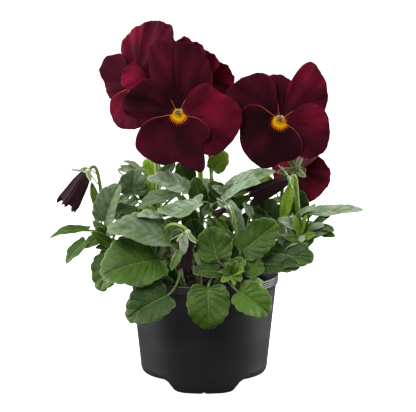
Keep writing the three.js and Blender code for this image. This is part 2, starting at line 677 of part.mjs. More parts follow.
const STEMS = [
  {
    name: "leafy_stem_front",
    path: [[8, -28, 71], [8, -31, 79], [12, -38, 82], [15, -43, 88]],
    leaves: [
      { at: 0.7, base: [3, -56, 79], tip: [3, -63, 50.5], width: 30, face: VIEWER, fold: 0.12 },
      { at: 0.6, base: [23.8, -54, 75], tip: [45, -57, 60], width: 25, face: [0.2, -0.85, 0.45] },
      { at: 0.8, base: [29, -44, 87], tip: [42, -42, 91], width: 16, face: FRONT_UP },
      { at: 0.9, base: [10, -49, 88], tip: [-8, -54, 89], width: 13, face: FRONT_UP },
      { at: 0.95, base: [19, -46, 88], tip: [28, -46, 97], width: 11, face: VIEWER },
      { at: 1, base: [9, -47, 97], tip: [4, -43, 119], width: 25, face: VIEWER, arch: -0.06 },
    ],
    flowers: [],
  },
  {
    name: "leafy_stem_front_right",
    path: [[24, -18, 71], [24, -20, 82], [26, -24, 92], [29, -29, 103]],
    leaves: [
      { at: 1, base: [27.1, -38, 100.9], tip: [50.6, -37, 121.2], width: 25, face: VIEWER, arch: -0.06 },
      { at: 0.7, base: [39.7, -28, 92.5], tip: [76.8, -38, 96], width: 26.5, face: FRONT_UP },
      { at: 0.85, base: [49.6, -22, 96.4], tip: [71.1, -27, 108.7], width: 17, face: SKY },
      { at: 1, base: [25, -34, 115], tip: [18, -37, 137], width: 9, face: VIEWER },
      { at: 0.8, base: [60, -20, 106], tip: [75, -24, 103], width: 8, face: SKY },
    ],
    flowers: [BUD_SMALL],
  },
  {
    name: "leafy_stem_front_left",
    path: [[-14, -22, 71], [-15, -25, 82], [-22, -28, 92], [-27, -30, 106]],
    leaves: [
      { at: 0.35, base: [-25, -56, 72.9], tip: [-53.6, -61, 57], width: 29, face: [-0.2, -0.85, 0.5] },
      { at: 0.7, base: [-30.6, -38, 94.5], tip: [-71.5, -47, 84.9], width: 43, face: FRONT_UP },
      { at: 0.95, base: [-19.5, -35, 108.1], tip: [-67.3, -42, 116.8], width: 29, face: [0, -0.6, 0.8] },
      { at: 0.85, base: [-25, -36, 115], tip: [-32, -40, 96], width: 16, face: [-0.6, -0.75, 0.2] },
      { at: 1, base: [-31, -32, 124], tip: [-47, -37, 125], width: 9.5, face: SKY },
    ],
    flowers: [BUD_CENTRE],
  },
  {
    name: "leafy_stem_left",
    path: [[-26, -4, 71], [-32, -5, 95], [-56, -9, 98], [-76, -12, 109]],
    leaves: [
      { at: 0.9, base: [-69, -13, 117], tip: [-59, -18, 145], width: 20, face: [-0.5, -0.8, 0.2], fold: 0.5 },
      { at: 1, base: [-81, -13, 111], tip: [-108.5, -19, 106], width: 9.5, face: SKY, arch: 0.12 },
      { at: 0.98, base: [-82.6, -19, 104.4], tip: [-96.4, -25, 89.2], width: 11, face: SKY },
      { at: 0.92, base: [-72, -18, 107], tip: [-84, -23, 100], width: 9, face: FRONT_UP },
      { at: 0.6, base: [-48, -14, 124], tip: [-64, -21, 126], width: 13, face: SKY },
      { at: 0.5, base: [-56, -18, 98], tip: [-73, -31, 71], width: 28, face: [-0.4, -0.8, 0.4] },
    ],
    flowers: [BUD_LEFT],
  },
  {
    name: "leafy_stem_centre",
    path: [[-3, -8, 71], [-4, -9, 85], [-2, -10, 105], [-2, -10, 124]],
    leaves: [
      { at: 0.9, base: [-3, -20, 129], tip: [-6, -25, 151], width: 14, face: VIEWER },
      { at: 0.8, base: [-2, -37, 135], tip: [-33, -34, 129], width: 19, face: SKY, arch: -0.14 },
      { at: 0.95, base: [-11, -18, 141], tip: [-40, -27, 150], width: 16, face: FRONT_UP },
      { at: 0.95, base: [15.3, -18, 139], tip: [50, -28, 155.6], width: 14, face: FRONT_UP, arch: 0.1 },
      { at: 0.9, base: [14, -25, 135], tip: [40, -35, 149], width: 12, face: SKY },
      { at: 1, base: [-12, 2, 143], tip: [-17, -2, 158], width: 16, face: VIEWER },
      { at: 0.5, base: [-5, -26, 104], tip: [-9, -29, 122], width: 16, face: VIEWER },
      { at: 0.6, base: [7, -23, 107], tip: [12, -26, 124], width: 14, face: VIEWER },
      { at: 0.95, base: [14, -14, 136], tip: [3, -16, 145], width: 11, face: VIEWER },
    ],
    flowers: [BLOOM_FRONT],
  },
  {
    name: "leafy_stem_right",
    path: [[34, -2, 71], [38, -4, 92], [56, -7, 104], [73, -10, 116]],
    leaves: [
      { at: 1, base: [76.3, -10, 122.7], tip: [111.9, -13, 125.7], width: 13, face: SKY, arch: 0.01 },
      { at: 0.9, base: [65, -15, 121], tip: [79, -21, 128], width: 9, face: SKY },
      { at: 0.95, base: [69.2, -16, 108.1], tip: [84.4, -22, 116.3], width: 9.5, face: SKY },
      { at: 1, base: [79, -18, 114], tip: [91, -23, 112], width: 8, face: SKY },
      { at: 0.8, base: [64.7, 3, 119], tip: [67.4, 1, 137.2], width: 17, face: VIEWER },
      { at: 0.6, base: [51, -5, 116], tip: [31, -8, 128], width: 23, face: VIEWER },
      { at: 0.85, base: [56, -19, 123], tip: [62, -22, 150], width: 8, face: VIEWER, fold: 0.4 },
    ],
    flowers: [BUD_RIGHT, BLOOM_LOW],
  },
  {
    name: "leafy_stem_back_left",
    path: [[-16, 12, 71], [-18, 12, 90], [-28, 10, 108], [-36, 8, 124]],
    leaves: [
      { at: 1, base: [-50, -4, 136], tip: [-49, -8, 154], width: 21, face: VIEWER },
      { at: 1, base: [-43, 4, 150], tip: [-58, 1, 158], width: 6, face: SKY },
      { at: 0.85, base: [-19, -12, 137], tip: [-47, -19, 127], width: 14, face: SKY },
      { at: 0.85, base: [-32, 17, 133], tip: [-48, 20, 138], width: 16, face: VIEWER },
      { at: 0.9, base: [-34, 19, 142], tip: [-41, 23, 156], width: 14, face: VIEWER },
      { at: 0.7, base: [-46, 8, 116], tip: [-72, 14, 119], width: 22, face: SKY },
      { at: 0.6, base: [-44, 22, 104], tip: [-73, 34, 98], width: 26, face: [-0.3, 0.2, 0.9] },
      { at: 0.4, base: [-38, 40, 86], tip: [-58, 57, 72], width: 28, face: [-0.4, 0.5, 0.75] },
    ],
    flowers: [BLOOM_LEFT],
  },
  {
    name: "leafy_stem_back_right",
    path: [[16, 14, 71], [17, 14, 90], [20, 13, 108], [22, 12, 126]],
    leaves: [
      { at: 0.9, base: [6.3, 15, 149.1], tip: [15.5, 19, 162], width: 14, face: [0, -0.95, 0.2] },
      { at: 1, base: [34.4, 3, 135.4], tip: [44.9, 1, 148.6], width: 13, face: VIEWER },
      { at: 0.7, base: [38, 24, 118], tip: [62, 34, 124], width: 17, face: [0.2, 0.1, 0.95] },
      { at: 0.6, base: [44, 8, 106], tip: [70, 14, 108], width: 22, face: SKY },
      { at: 0.5, base: [44, 26, 98], tip: [74, 38, 92], width: 24, face: [0.3, 0.2, 0.9] },
      { at: 0.3, base: [42, 40, 84], tip: [60, 55, 68], width: 28, face: [0.4, 0.5, 0.75] },
    ],
    flowers: [BLOOM_RIGHT],
  },
  {
    name: "leafy_stem_back",
    path: [[0, 26, 71], [0, 28, 85], [2, 32, 100], [4, 34, 114]],
    leaves: [
      { at: 1, base: [2, 44, 122], tip: [-6, 62, 136], width: 17, face: [-0.2, 0.2, 0.95] },
      { at: 0.9, base: [14, 44, 116], tip: [34, 58, 120], width: 20, face: [0.2, 0.2, 0.95] },
      { at: 0.8, base: [-10, 44, 108], tip: [-32, 58, 108], width: 22, face: [-0.2, 0.3, 0.9] },
      { at: 0.6, base: [8, 50, 96], tip: [18, 69, 84], width: 24, face: [0.1, 0.5, 0.85] },
      { at: 0.5, base: [-12, 50, 90], tip: [-22, 69, 72], width: 24, face: [-0.1, 0.6, 0.75] },
      { at: 0.4, base: [16, 56, 80], tip: [30, 65, 56], width: 27, face: [0.3, 0.8, 0.4] },
    ],
    flowers: [BLOOM_BACK],
  },
];

const stemCurve = (stem) => bezier(stem.path.map(vec));

// The upright part of a stem, in its hole.
function rootSolid(stem) {
  const length = HOLE_DEPTH + 2;
  const root = new THREE.CylinderGeometry(STEM_RADIUS, STEM_RADIUS, length, 6);
  root.rotateX(Math.PI / 2);
  root.translate(stem.path[0][0], stem.path[0][1], SOIL_TOP - HOLE_DEPTH + CLEARANCE + length / 2);
  return solid(root);
}

function leafyStemSolid(stem) {
  const curve = stemCurve(stem);
  const pieces = [rootSolid(stem), tube(curve, STEM_RADIUS, 4, 6)];
  stem.leaves.forEach((leaf) => pieces.push(leafSolid(curve, leaf)));
  stem.flowers.forEach((flower) => pieces.push(...calyxSolids(curve, flower)));
  return join(pieces);
}

// ---- The whole ----------------------------------------------------------------------------
const plant = new THREE.Group();
plant.add(mesh("pot", potSolid(), POT_PLASTIC));
plant.add(mesh("soil", soilSolid(STEMS.map((stem) => stem.path[0])), SOIL_PEAT));
for (const stem of STEMS) {
  plant.add(mesh(stem.name, leafyStemSolid(stem), LEAF_GREEN));
  for (const flower of stem.flowers) {
    if (flower.petals) {
      plant.add(mesh(`${flower.name}_petals`, petalsSolid(flower), PETAL_RED));
      plant.add(mesh(`${flower.name}_pistil`, pistilSolid(flower), PISTIL_GREEN));
    } else {
      plant.add(mesh(`${flower.name}_petals`, bellSolid(flower), BUD_PURPLE));
    }
  }
}

export default plant;
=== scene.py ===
"""The looks of a potted pansy: fine leaves, petals, buds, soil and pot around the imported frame.

The plan of the plant is the CAD model's, with the same stems, leaves, blooms and buds in the same
places. Here they get finer surfaces, two petals differ a little, and young leaves grow between them.
Lengths are in millimetres until a mesh is made.
"""
import math
from functools import partial, reduce

import bmesh
import bpy
import numpy as np
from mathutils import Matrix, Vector, noise


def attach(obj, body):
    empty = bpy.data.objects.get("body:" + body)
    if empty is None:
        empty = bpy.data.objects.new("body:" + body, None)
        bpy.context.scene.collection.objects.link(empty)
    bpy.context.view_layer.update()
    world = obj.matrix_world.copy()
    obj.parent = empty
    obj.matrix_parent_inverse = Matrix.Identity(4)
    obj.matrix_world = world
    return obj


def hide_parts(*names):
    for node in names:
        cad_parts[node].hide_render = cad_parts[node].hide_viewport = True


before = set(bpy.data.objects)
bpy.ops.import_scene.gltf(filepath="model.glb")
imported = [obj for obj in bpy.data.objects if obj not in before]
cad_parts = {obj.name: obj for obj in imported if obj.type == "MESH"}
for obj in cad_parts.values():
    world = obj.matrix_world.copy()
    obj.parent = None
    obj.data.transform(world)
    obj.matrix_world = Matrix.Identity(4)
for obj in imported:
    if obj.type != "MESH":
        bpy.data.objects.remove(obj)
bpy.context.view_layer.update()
MM = 0.001

# ---- The pot's and the soil's sizes ----
POT_RIM_RADIUS = 52.5
POT_HEIGHT = 78
POT_WALL = 1.3
POT_FLOOR = 8
FLOOR_THICKNESS = 1.6
POT_BASE_RADIUS = 41.6
POT_WALL_FOOT_RADIUS = 44.7
CORNER_HEIGHT = 6.5
CORNER_INSET = 3
POT_WALL_TOP_RADIUS = 51
RIM_BAND = 6.5
FEET = {"outside": [(42, 0), (43.4, 4.5), (44.2, 9), (44.72, 14.5), (45.42, 22)], "inside": 39}
# A foot's lower edge: degrees from where its end leaves the ground, and height.
FOOT_END = [(-9, 0), (-1.5, 0.7), (1, 1.8), (6.5, 7), (11, 8.7), (19, 9.8), (27, 11.2), (33, 14.2)]
FOOT_TOP = 22  # where a foot has sunk into the wall
FOOT_STEPS = 241
SUNK = 0.6  # how deep the feet's upper edges lie in the body
FOOT_FLATS = {"front": 28.5, "back": 46.5}  # degrees from the foot's middle to that place
FOOT_NOTCH = {"depth": 0.9, "width": 1.6}  # in the middle of the front foot; the width in degrees
DRAINS = {"count": 3, "radius": 4, "ring_radius": 27}
SOIL_TOP = 70
SOIL_RELIEF = 1.1
SOIL_ROUGHNESS = 1.1
SOIL_RINGS = 60
SOIL_SIDES = 150
SOIL_SEED = 11
CLODS = {"count": 700, "least": 0.45, "more": 1.5}
CLEARANCE = 0.3

# ---- The plant's sizes ----
STEM_RADIUS = 1.7
ROOT_DEPTH = 9.7
PETIOLE_RADIUS = 0.85
PETIOLE_GAP = 0.6
PEDUNCLE_RADIUS = 1.25
BLADE_THICKNESS = 0.5
PETAL_THICKNESS = 0.5
SEPAL = {"count": 5, "length": 13, "width": 4.6, "thickness": 0.45, "back": 5}
HUB = {"back": 4.4, "front": 2.9}


# ---- Materials ----
BACK_TO_FRONT = (-0.2, 0.2)  # where in the field face a sheet's back turns into its front


def colour(red, green, blue):
    """A colour as seen on a screen, 0 to 255, as the renderer's linear one."""
    shares = [c / 255 for c in (red, green, blue)]
    return (*[c / 12.92 if c < 0.04 else ((c + 0.055) / 1.055) ** 2.4 for c in shares], 1)


class Shader:
    """A material being built from nodes. Its methods give back the outputs of the nodes they make,
    and take such outputs or plain values. A colour is three numbers from 0 to 255."""

    def __init__(self, name, **values):
        self.material = bpy.data.materials.new(name)
        self.material.use_nodes = True
        self.tree = self.material.node_tree
        self.surface = self.tree.nodes["Principled BSDF"]
        self.set(self.surface, **values)

    def feed(self, socket, value):
        if isinstance(value, bpy.types.NodeSocket):
            self.tree.links.new(value, socket)
        else:
            socket.default_value = value

    def set(self, node, **values):
        for name, value in values.items():
            self.feed(node.inputs[name.replace("_", " ").title().replace("Ior", "IOR")], value)

    def make(self, kind, output=0, settings=None, inputs=None, **values):
        """A node, with values for its inputs by their number or by their name."""
        node = self.tree.nodes.new("ShaderNode" + kind)
        for name, value in (settings or {}).items():
            setattr(node, name, value)
        for number, value in (inputs or {}).items():
            self.feed(node.inputs[number], value)
        self.set(node, **values)
        return node.outputs[output]

    def math(self, operation, *values):
        return self.make("Math", settings={"operation": operation}, inputs=dict(enumerate(values)))

    def times(self, *values):
        return reduce(partial(self.math, "MULTIPLY"), values)

    def plus(self, *values):
        return reduce(partial(self.math, "ADD"), values)

    def sum(self, *parts):
        """Values added up, each times its own weight."""
        return self.plus(*[self.times(*part) for part in parts])

    def blend(self, share, first, second):
        """A colour between two, by a share of the second."""
        pair = [colour(*shade) if isinstance(shade, tuple) else shade for shade in (first, second)]
        return self.make("Mix", output=2, settings={"data_type": "RGBA"},
                         inputs={0: share, 6: pair[0], 7: pair[1]})

    def coat(self, shade, *coats):
        """The shade under coats of colour, each with the share of it that covers."""
        for share, paint in coats:
            shade = self.blend(share, shade, paint)
        return shade

    def two_sided(self, back, front):
        return self.blend(self.rise(self.field("face"), *BACK_TO_FRONT), back, front)

    def rise(self, value, low, high, start=0.0, end=1.0):
        """Smoothly from start to end as the value goes from low to high."""
        return self.make("MapRange", settings={"interpolation_type": "SMOOTHSTEP"}, value=value,
                         from_min=low, from_max=high, to_min=start, to_max=end)

    def zigzag(self, value):
        """How far a value is from the nearest whole number."""
        return self.math("PINGPONG", value, 0.5)

    def field(self, name):
        return self.make("Attribute", output="Fac", settings={"attribute_name": name})

    def fields(self, *names):
        return [self.field(name) for name in names]

    def place(self):
        return self.make("TexCoord", output="Object")

    def stretched(self, height):
        """The place, with its heights scaled."""
        return self.make("Mapping", vector=self.place(), scale=(1, 1, height))

    def at(self, x, y, z):
        return self.make("CombineXYZ", x=x, y=y, z=z)

    def noise(self, scale, detail, where=None, distortion=0.0):
        return self.make("TexNoise", vector=where or self.place(), scale=scale, detail=detail,
                         distortion=distortion)

    def net(self, scale):
        """How far a point is from the nearest line between the cells of a net."""
        settings = {"feature": "DISTANCE_TO_EDGE"}
        return self.make("TexVoronoi", settings=settings, vector=self.place(), scale=scale)

    def finish(self, shade, height=None, bump=0.3, distance=0.0004):
        self.set(self.surface, base_color=shade)
        if height is not None:
            normal = self.make("Bump", strength=bump, distance=distance, height=height)
            self.set(self.surface, normal=normal)
        return self.material


def leaf_material():
    """A blade: rib counts its side veins, mid and edge are how far its midrib and its edge are."""
    s = Shader("leaf_blade", roughness=0.44, sheen_weight=0.02, sheen_roughness=0.45,
               specular_ior_level=0.3)
    rib, mid, edge, tone, silver, glow = s.fields("rib", "mid", "edge", "tone", "silver", "glow")
    patches, grain = s.noise(150, 3), s.noise(1500, 3)
    net = s.rise(s.net(430), 0, 0.2)
    wander = s.times(s.plus(s.noise(260, 2), -0.5), 0.4)
    gap = s.zigzag(s.plus(rib, wander))
    inner = s.rise(edge, 0.2, 3.0)
    vein = s.times(s.rise(gap, 0.02, 0.07, 1, 0), inner)
    # Painted shade: the blade is darker in the furrows beside its side veins, and so is its silvery sheen.
    furrow_shade = s.times(s.rise(gap, 0.02, 0.3, 1, 0), inner)
    midrib = s.rise(mid, 0.2, 0.5, 1, 0)
    level = s.plus(s.sum((tone, 0.45), (patches, 0.8), (furrow_shade, -0.25)), 0.2)
    # Painted reflection: where a leaf has sky sheen, patches turn silvery grey-green as if the white sky
    # shone off it.
    painted_sky_sheen = s.times(silver, s.rise(s.noise(90, 3, distortion=1.0), 0.3, 0.62, 0.3, 0.95))
    front = s.coat(
        s.blend(level, (20, 46, 7), (84, 120, 24)),
        (painted_sky_sheen, s.blend(s.times(furrow_shade, 0.6), (164, 180, 156), (98, 123, 90))),
        # Painted light shining through the blade, where glow is set.
        (glow, s.blend(patches, (112, 158, 22), (168, 198, 70))),
        (s.times(s.rise(net, 0, 1, 1, 0), 0.22), (34, 60, 18)),
        (s.times(vein, 0.4), (112, 146, 70)),
        (s.times(midrib, 0.42), (126, 160, 70)),
        (s.rise(edge, 0.1, 0.4, 0.5, 0), (164, 186, 116)),
    )
    back = s.coat(
        s.blend(s.times(patches, 0.6), (92, 122, 58), (128, 152, 90)),
        (s.times(vein, 0.6), (150, 170, 112)),
        # Painted light shining through the underside, where glow is set.
        (s.times(glow, 0.7), (150, 184, 60)),
    )
    height = s.sum((net, 0.6), (grain, 0.4), (vein, -0.5), (patches, 1.2))
    return s.finish(s.two_sided(back, front), height, bump=0.5, distance=0.0004)


def stalk_material():
    s = Shader("leaf_stalk", roughness=0.42, sheen_weight=0.1)
    patches, streaks = s.noise(60, 2), s.noise(1600, 2, s.stretched(0.12))
    red = s.times(s.rise(patches, 0.45, 0.65), s.rise(s.field("silver"), 0, 1, 0.5, 0.2))
    shade = s.coat(
        s.blend(patches, (74, 104, 36), (128, 152, 72)),
        (red, (112, 82, 50)),
        # Painted light shining through the stalk, where glow is set.
        (s.field("glow"), (150, 178, 70)),
        (s.times(streaks, 0.4), (60, 80, 34)),
    )
    return s.finish(shade, streaks, bump=0.3, distance=0.0002)


def sepal_material():
    s = Shader("sepal", roughness=0.5, sheen_weight=0.15)
    lines = s.noise(1, 2, s.at(s.times(s.field("mid"), 3.2), s.times(s.field("rib"), 1.5), 0.0))
    shade = s.coat(
        s.blend(s.noise(220, 2), (86, 112, 50), (132, 154, 84)),
        (s.times(s.rise(lines, 0.45, 0.6), 0.4), (60, 84, 36)),
        (s.rise(s.field("edge"), 0.1, 0.7, 0.8, 0), (204, 212, 180)),
    )
    return s.finish(shade, lines, bump=0.4, distance=0.0002)


def petal_material():
    """A petal: radius and angle are a point's place about the flower's middle, rib its share of the
    way out, edge its distance from the rim, and eye how much of the yellow eye the petal has."""
    s = Shader("petal_velvet", roughness=0.8, sheen_weight=0.22, sheen_roughness=0.3,
               sheen_tint=(0.75, 0.05, 0.12, 1), specular_ior_level=0.05)
    radius, angle, share, edge, eye, phase = s.fields("radius", "angle", "rib", "edge", "eye", "phase")
    broad = s.noise(1, 1, s.at(s.times(angle, 1.7), s.times(radius, 0.045), s.times(phase, 3)))
    streaks = s.noise(1, 3, s.at(s.times(angle, 20), s.times(radius, 0.05), phase))
    fine = s.noise(1, 2, s.at(s.times(angle, 52), s.times(radius, 0.1), phase))
    # Tone lightens or darkens a whole petal: partly its own depth of colour, partly painted light and shade,
    # lighter on petals in the light and darker on those in shade.
    level = s.plus(s.sum((share, 0.3), (broad, 1.15), (s.field("tone"), 0.5)), -0.5)
    ray = s.zigzag(s.sum((angle, 9.5), (fine, 0.5)))

    # The yellow eye has spikes at its edge, longer on the lowest petal, and orange flares beyond it.
    low = s.rise(s.math("COSINE", angle), 0.6, -0.9)
    spike = s.rise(s.zigzag(s.sum((angle, 4.6), (streaks, 0.7))), 0.05, 0.5)
    spikes = s.times(spike, s.plus(0.3, s.times(low, 2.2)))
    limit = s.times(eye, s.plus(4.3, s.times(low, 0.7), spikes))
    gold = s.coat(
        s.blend(s.rise(radius, 3.6, 7), (252, 186, 16), (242, 144, 8)),
        (s.rise(fine, 0.6, 0.7, 0, 0.4), (170, 66, 12)),
    )
    beyond = s.plus(radius, s.times(limit, -1))
    flare = s.times(s.rise(beyond, 0.2, 3.0, 1, 0), s.rise(fine, 0.52, 0.6), 0.8)
    line = s.times(s.field("rim"), s.rise(edge, 0.1, 0.34, 1, 0), 0.9)
    front = s.coat(
        s.blend(s.rise(level, -0.1, 0.4), (38, 9, 17), (70, 13, 30)),
        (s.rise(level, 0.35, 1.0), (124, 18, 45)),
        (s.times(s.rise(streaks, 0.5, 0.72), s.rise(share, 0.3, 1.0, 0.5, 0.15)), (30, 3, 10)),
        (s.times(s.rise(ray, 0.02, 0.24, 1, 0), s.rise(radius, 8, 22, 0.9, 0), eye), (20, 2, 7)),
        (s.times(flare, eye), (196, 78, 22)),
        (s.rise(beyond, -0.25, 0.2, 1, 0), gold),
        (line, s.blend(s.rise(radius, 8, 24), (214, 116, 60), (150, 44, 52))),
    )
    back = s.coat(
        s.blend(s.rise(level, -0.1, 0.8), (56, 10, 25), (122, 18, 46)),
        (s.field("glow"), s.blend(s.sum((broad, 0.8), (share, 0.3)), (96, 36, 52), (162, 84, 100))),
        (s.times(s.rise(streaks, 0.48, 0.66), 0.35), (60, 14, 28)),
    )
    height = s.sum((streaks, 0.9), (fine, 0.3), (s.noise(2600, 2), 0.1))
    return s.finish(s.two_sided(back, front), height, bump=0.4, distance=0.0005)


def bud_material():
    """Folded petals: rib is the share of the way from the calyx to the hem."""
    s = Shader("bud_velvet", roughness=0.6, sheen_weight=0.14, sheen_roughness=0.4,
               sheen_tint=(1, 0.6, 0.75, 1), specular_ior_level=0.15)
    share, angle = s.fields("rib", "angle")
    turn = s.at(s.times(s.math("COSINE", angle), 5), s.times(s.math("SINE", angle), 5), share)
    streaks, broad = s.noise(2.2, 3, turn), s.noise(0.5, 1, turn)
    shade = s.coat(
        s.blend(s.rise(broad, 0.35, 0.65), (26, 11, 19), (50, 18, 30)),
        (s.rise(streaks, 0.5, 0.68), (16, 7, 12)),
        (s.times(s.rise(streaks, 0.46, 0.3), 0.4), (76, 40, 50)),
        (s.rise(share, 0.0, 0.3, 0.5, 0), (70, 60, 44)),
        (s.rise(share, 0.85, 1.05, 0, 0.45), (86, 36, 50)),
    )
    return s.finish(shade, streaks, bump=0.6, distance=0.0006)


def simple_material(name, dark, light, scale, roughness, bump, distance):
    """A surface that varies between two colours."""
    s = Shader(name, roughness=roughness)
    patches = s.noise(scale, 4)
    return s.finish(s.blend(s.rise(patches, 0.35, 0.65), dark, light), patches, bump, distance)


def soil_material():
    s = Shader("soil_peat", roughness=0.93, specular_ior_level=0.2)
    clods, fibres = s.noise(260, 5), s.noise(1100, 4, distortion=1.5)
    shade = s.coat(
        s.blend(s.rise(clods, 0.35, 0.7), (14, 12, 9), (46, 36, 26)),
        (s.rise(fibres, 0.6, 0.75, 0, 0.6), (96, 72, 46)),
    )
    return s.finish(shade, s.plus(clods, s.times(fibres, 0.5)), bump=0.9, distance=0.0012)


def pot_material():
    s = Shader("pot_moulded_plastic", roughness=0.4, specular_ior_level=0.5)
    grain, haze = s.noise(2400, 3), s.noise(24, 4, s.stretched(2.5))
    shade = s.blend(s.rise(haze, 0.5, 0.8, 0, 0.5), (32, 32, 35), (46, 46, 49))
    s.set(s.surface, roughness=s.rise(haze, 0.3, 0.75, 0.38, 0.46))
    return s.finish(shade, s.plus(grain, s.times(haze, 0.4)), bump=0.12, distance=0.0002)


LEAF = leaf_material()
STALK = stalk_material()
SEPAL_GREEN = sepal_material()
PETAL = petal_material()
BUD = bud_material()
SOIL = soil_material()
POT = pot_material()
PISTIL = simple_material("pistil", (62, 58, 18), (128, 124, 40), 900, 0.4, 0.2, 0.0002)
THROAT_GREEN = simple_material("flower_throat", (190, 128, 16), (238, 176, 26), 900, 0.5, 0.3, 0.0002)
BEARD = simple_material("beard_hairs", (214, 206, 150), (244, 240, 214), 1600, 0.6, 0.1, 0.0001)

# ---- Vectors, curves and lines ----
UP = np.array([0.0, 0.0, 1.0])
OBLIQUE = (0.31, 0.22, 0.92)  # along no line of the plant or the pot


def unit(v):
    v = np.asarray(v, float)
    return v / np.maximum(np.linalg.norm(v, axis=-1, keepdims=True), 1e-9)


def smoothstep(x, low, high):
    t = np.clip((x - low) / (high - low), 0, 1)
    return t * t * (3 - 2 * t)


def bezier(points, t):
    a, b, c, d = np.asarray(points, float)
    t = np.asarray(t, float)[..., None]
    return (1 - t) ** 3 * a + 3 * (1 - t) ** 2 * t * b + 3 * (1 - t) * t**2 * c + t**3 * d


def spline(values, v):
    """A smooth line through evenly spaced values, read at v from -1 to 1."""
    values = np.asarray(values, float)
    last = len(values) - 1
    place = (np.clip(v, -1, 1) + 1) / 2 * last
    i = np.minimum(place.astype(int), last - 1)
    f = place - i
    ends = [2 * values[0] - values[1]], [2 * values[-1] - values[-2]]
    p = np.concatenate([ends[0], values, ends[1]])
    p0, p1, p2, p3 = p[i], p[i + 1], p[i + 2], p[i + 3]
    bend = 2 * p0 - 5 * p1 + 4 * p2 - p3 + f * (3 * (p1 - p2) + p3 - p0)
    return p1 + f / 2 * (p2 - p0 + f * bend)


def resample(points, count):
    """The same line through count points, evenly spaced along it."""
    steps = np.linalg.norm(np.diff(points, axis=0), axis=1)
    reached = np.concatenate([[0], np.cumsum(steps)])
    wanted = np.linspace(0, reached[-1], count)
    return np.stack([np.interp(wanted, reached, column) for column in points.T], 1)


def soften(points, rounds):
    """The line with its corners rounded off, and its two ends kept."""
    points = points.copy()
    for _ in range(rounds):
        points[1:-1] = (points[:-2] + 2 * points[1:-1] + points[2:]) / 4
    return points


# ---- Surfaces and pieces ----
# What the materials read at each point: see the materials for their meaning.
FIELDS = ("rib", "mid", "edge", "face", "tone", "silver", "glow", "radius", "angle", "eye", "phase",
          "rim")


class Piece:
    """Gathers the surfaces of one object, with a number in every field at each of its points."""

    def __init__(self, name, *materials):
        self.name = name
        self.materials = materials
        self.points, self.faces, self.slots, self.table = [], [], [], []
        self.count = 0

    def add(self, points, faces, material, **fields):
        points = np.asarray(points, float).reshape(-1, 3)
        table = np.zeros((len(points), len(FIELDS)))
        for field, value in fields.items():
            table[:, FIELDS.index(field)] = np.asarray(value, float).ravel()
        self.points.append(points)
        self.table.append(table)
        self.faces += [[k + self.count for k in face] for face in faces]
        self.slots += [self.materials.index(material)] * len(faces)
        self.count += len(points)

    def build(self, slot, *nodes):
        """Makes the object, in metres, and puts it in the place of the CAD nodes."""
        mesh = bpy.data.meshes.new(self.name)
        mesh.from_pydata((np.concatenate(self.points) * MM).tolist(), [], self.faces)
        for material in self.materials:
            mesh.materials.append(material)
        mesh.polygons.foreach_set("material_index", self.slots)
        mesh.polygons.foreach_set("use_smooth", [True] * len(self.faces))
        table = np.concatenate(self.table).astype(np.float32)
        for column, field in enumerate(FIELDS):
            if np.any(table[:, column]):
                values = np.ascontiguousarray(table[:, column])
                mesh.attributes.new(field, "FLOAT", "POINT").data.foreach_set("value", values)
        mesh.validate()
        piece = put(self.name, mesh)
        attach(piece, "root")
        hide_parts(*nodes)


def put(name, data):
    thing = bpy.data.objects.new(name, data)
    bpy.context.scene.collection.objects.link(thing)
    return thing


def grid_faces(rows, columns, wrap=False):
    k = np.arange(rows * columns).reshape(rows, columns)
    if wrap:
        k = np.concatenate([k, k[:, :1]], 1)
    quads = [k[:-1, :-1], k[1:, :-1], k[1:, 1:], k[:-1, 1:]]
    return np.stack(quads, -1).reshape(-1, 4)


def turns(count):
    return 2 * np.pi * np.arange(count) / count


def moved(points, *parts):
    """Points moved by amounts along axes, each part an amount and its axis."""
    for amount, axis in parts:
        points = points + amount[..., None] * axis
    return points


def add_rings(piece, rings, material, clockwise=False, **fields):
    """A closed solid through rings of points, which run anticlockwise about the way to the last."""
    count, sides = rings.shape[:2]
    k = np.arange(count * sides)
    faces = [*grid_faces(count, sides, wrap=True).tolist(), k[:sides].tolist(), k[-sides:][::-1].tolist()]
    piece.add(rings, faces if clockwise else [face[::-1] for face in faces], material, **fields)


def add_sheet(piece, points, thickness, material, **fields):
    """A closed sheet about a grid of points, with its edges joined. Its front has face 1, its back -1."""
    rows, columns = points.shape[:2]
    count = rows * columns
    normals = unit(np.cross(np.gradient(points, axis=0), np.gradient(points, axis=1)))
    half = normals * np.broadcast_to(thickness, (rows, columns))[..., None] / 2
    k = np.arange(count).reshape(rows, columns)
    loop = np.concatenate([k[0, :-1], k[:-1, -1], k[-1, :0:-1], k[:0:-1, 0]])
    after = np.roll(loop, -1)
    front = grid_faces(rows, columns)
    sides = np.stack([loop, after, after + count, loop + count], 1)
    faces = np.concatenate([front, front[:, ::-1] + count, sides]).tolist()
    both = {name: np.tile(np.broadcast_to(value, (rows, columns)).ravel(), 2)
            for name, value in fields.items()}
    face = np.repeat([1, -1], count)
    piece.add(np.stack([points + half, points - half]), faces, material, face=face, **both)


def add_tube(piece, path, radius, material, sides=10, **fields):
    """A round tube along a line of points, closed at its ends."""
    path = np.asarray(path, float)
    count = len(path)
    radius = np.broadcast_to(radius, count)
    tangents = unit(np.gradient(path, axis=0))
    side = np.zeros_like(path)
    side[0] = unit(np.cross(tangents[0], OBLIQUE))
    for i in range(1, count):
        side[i] = unit(side[i - 1] - tangents[i] * (side[i - 1] @ tangents[i]))
    other = np.cross(tangents, side)
    turn = turns(sides)
    ring = np.cos(turn)[:, None] * side[:, None] + np.sin(turn)[:, None] * other[:, None]
    whole = {name: np.repeat(np.broadcast_to(value, count), sides) for name, value in fields.items()}
    add_rings(piece, path[:, None] + ring * radius[:, None, None], material, **whole)


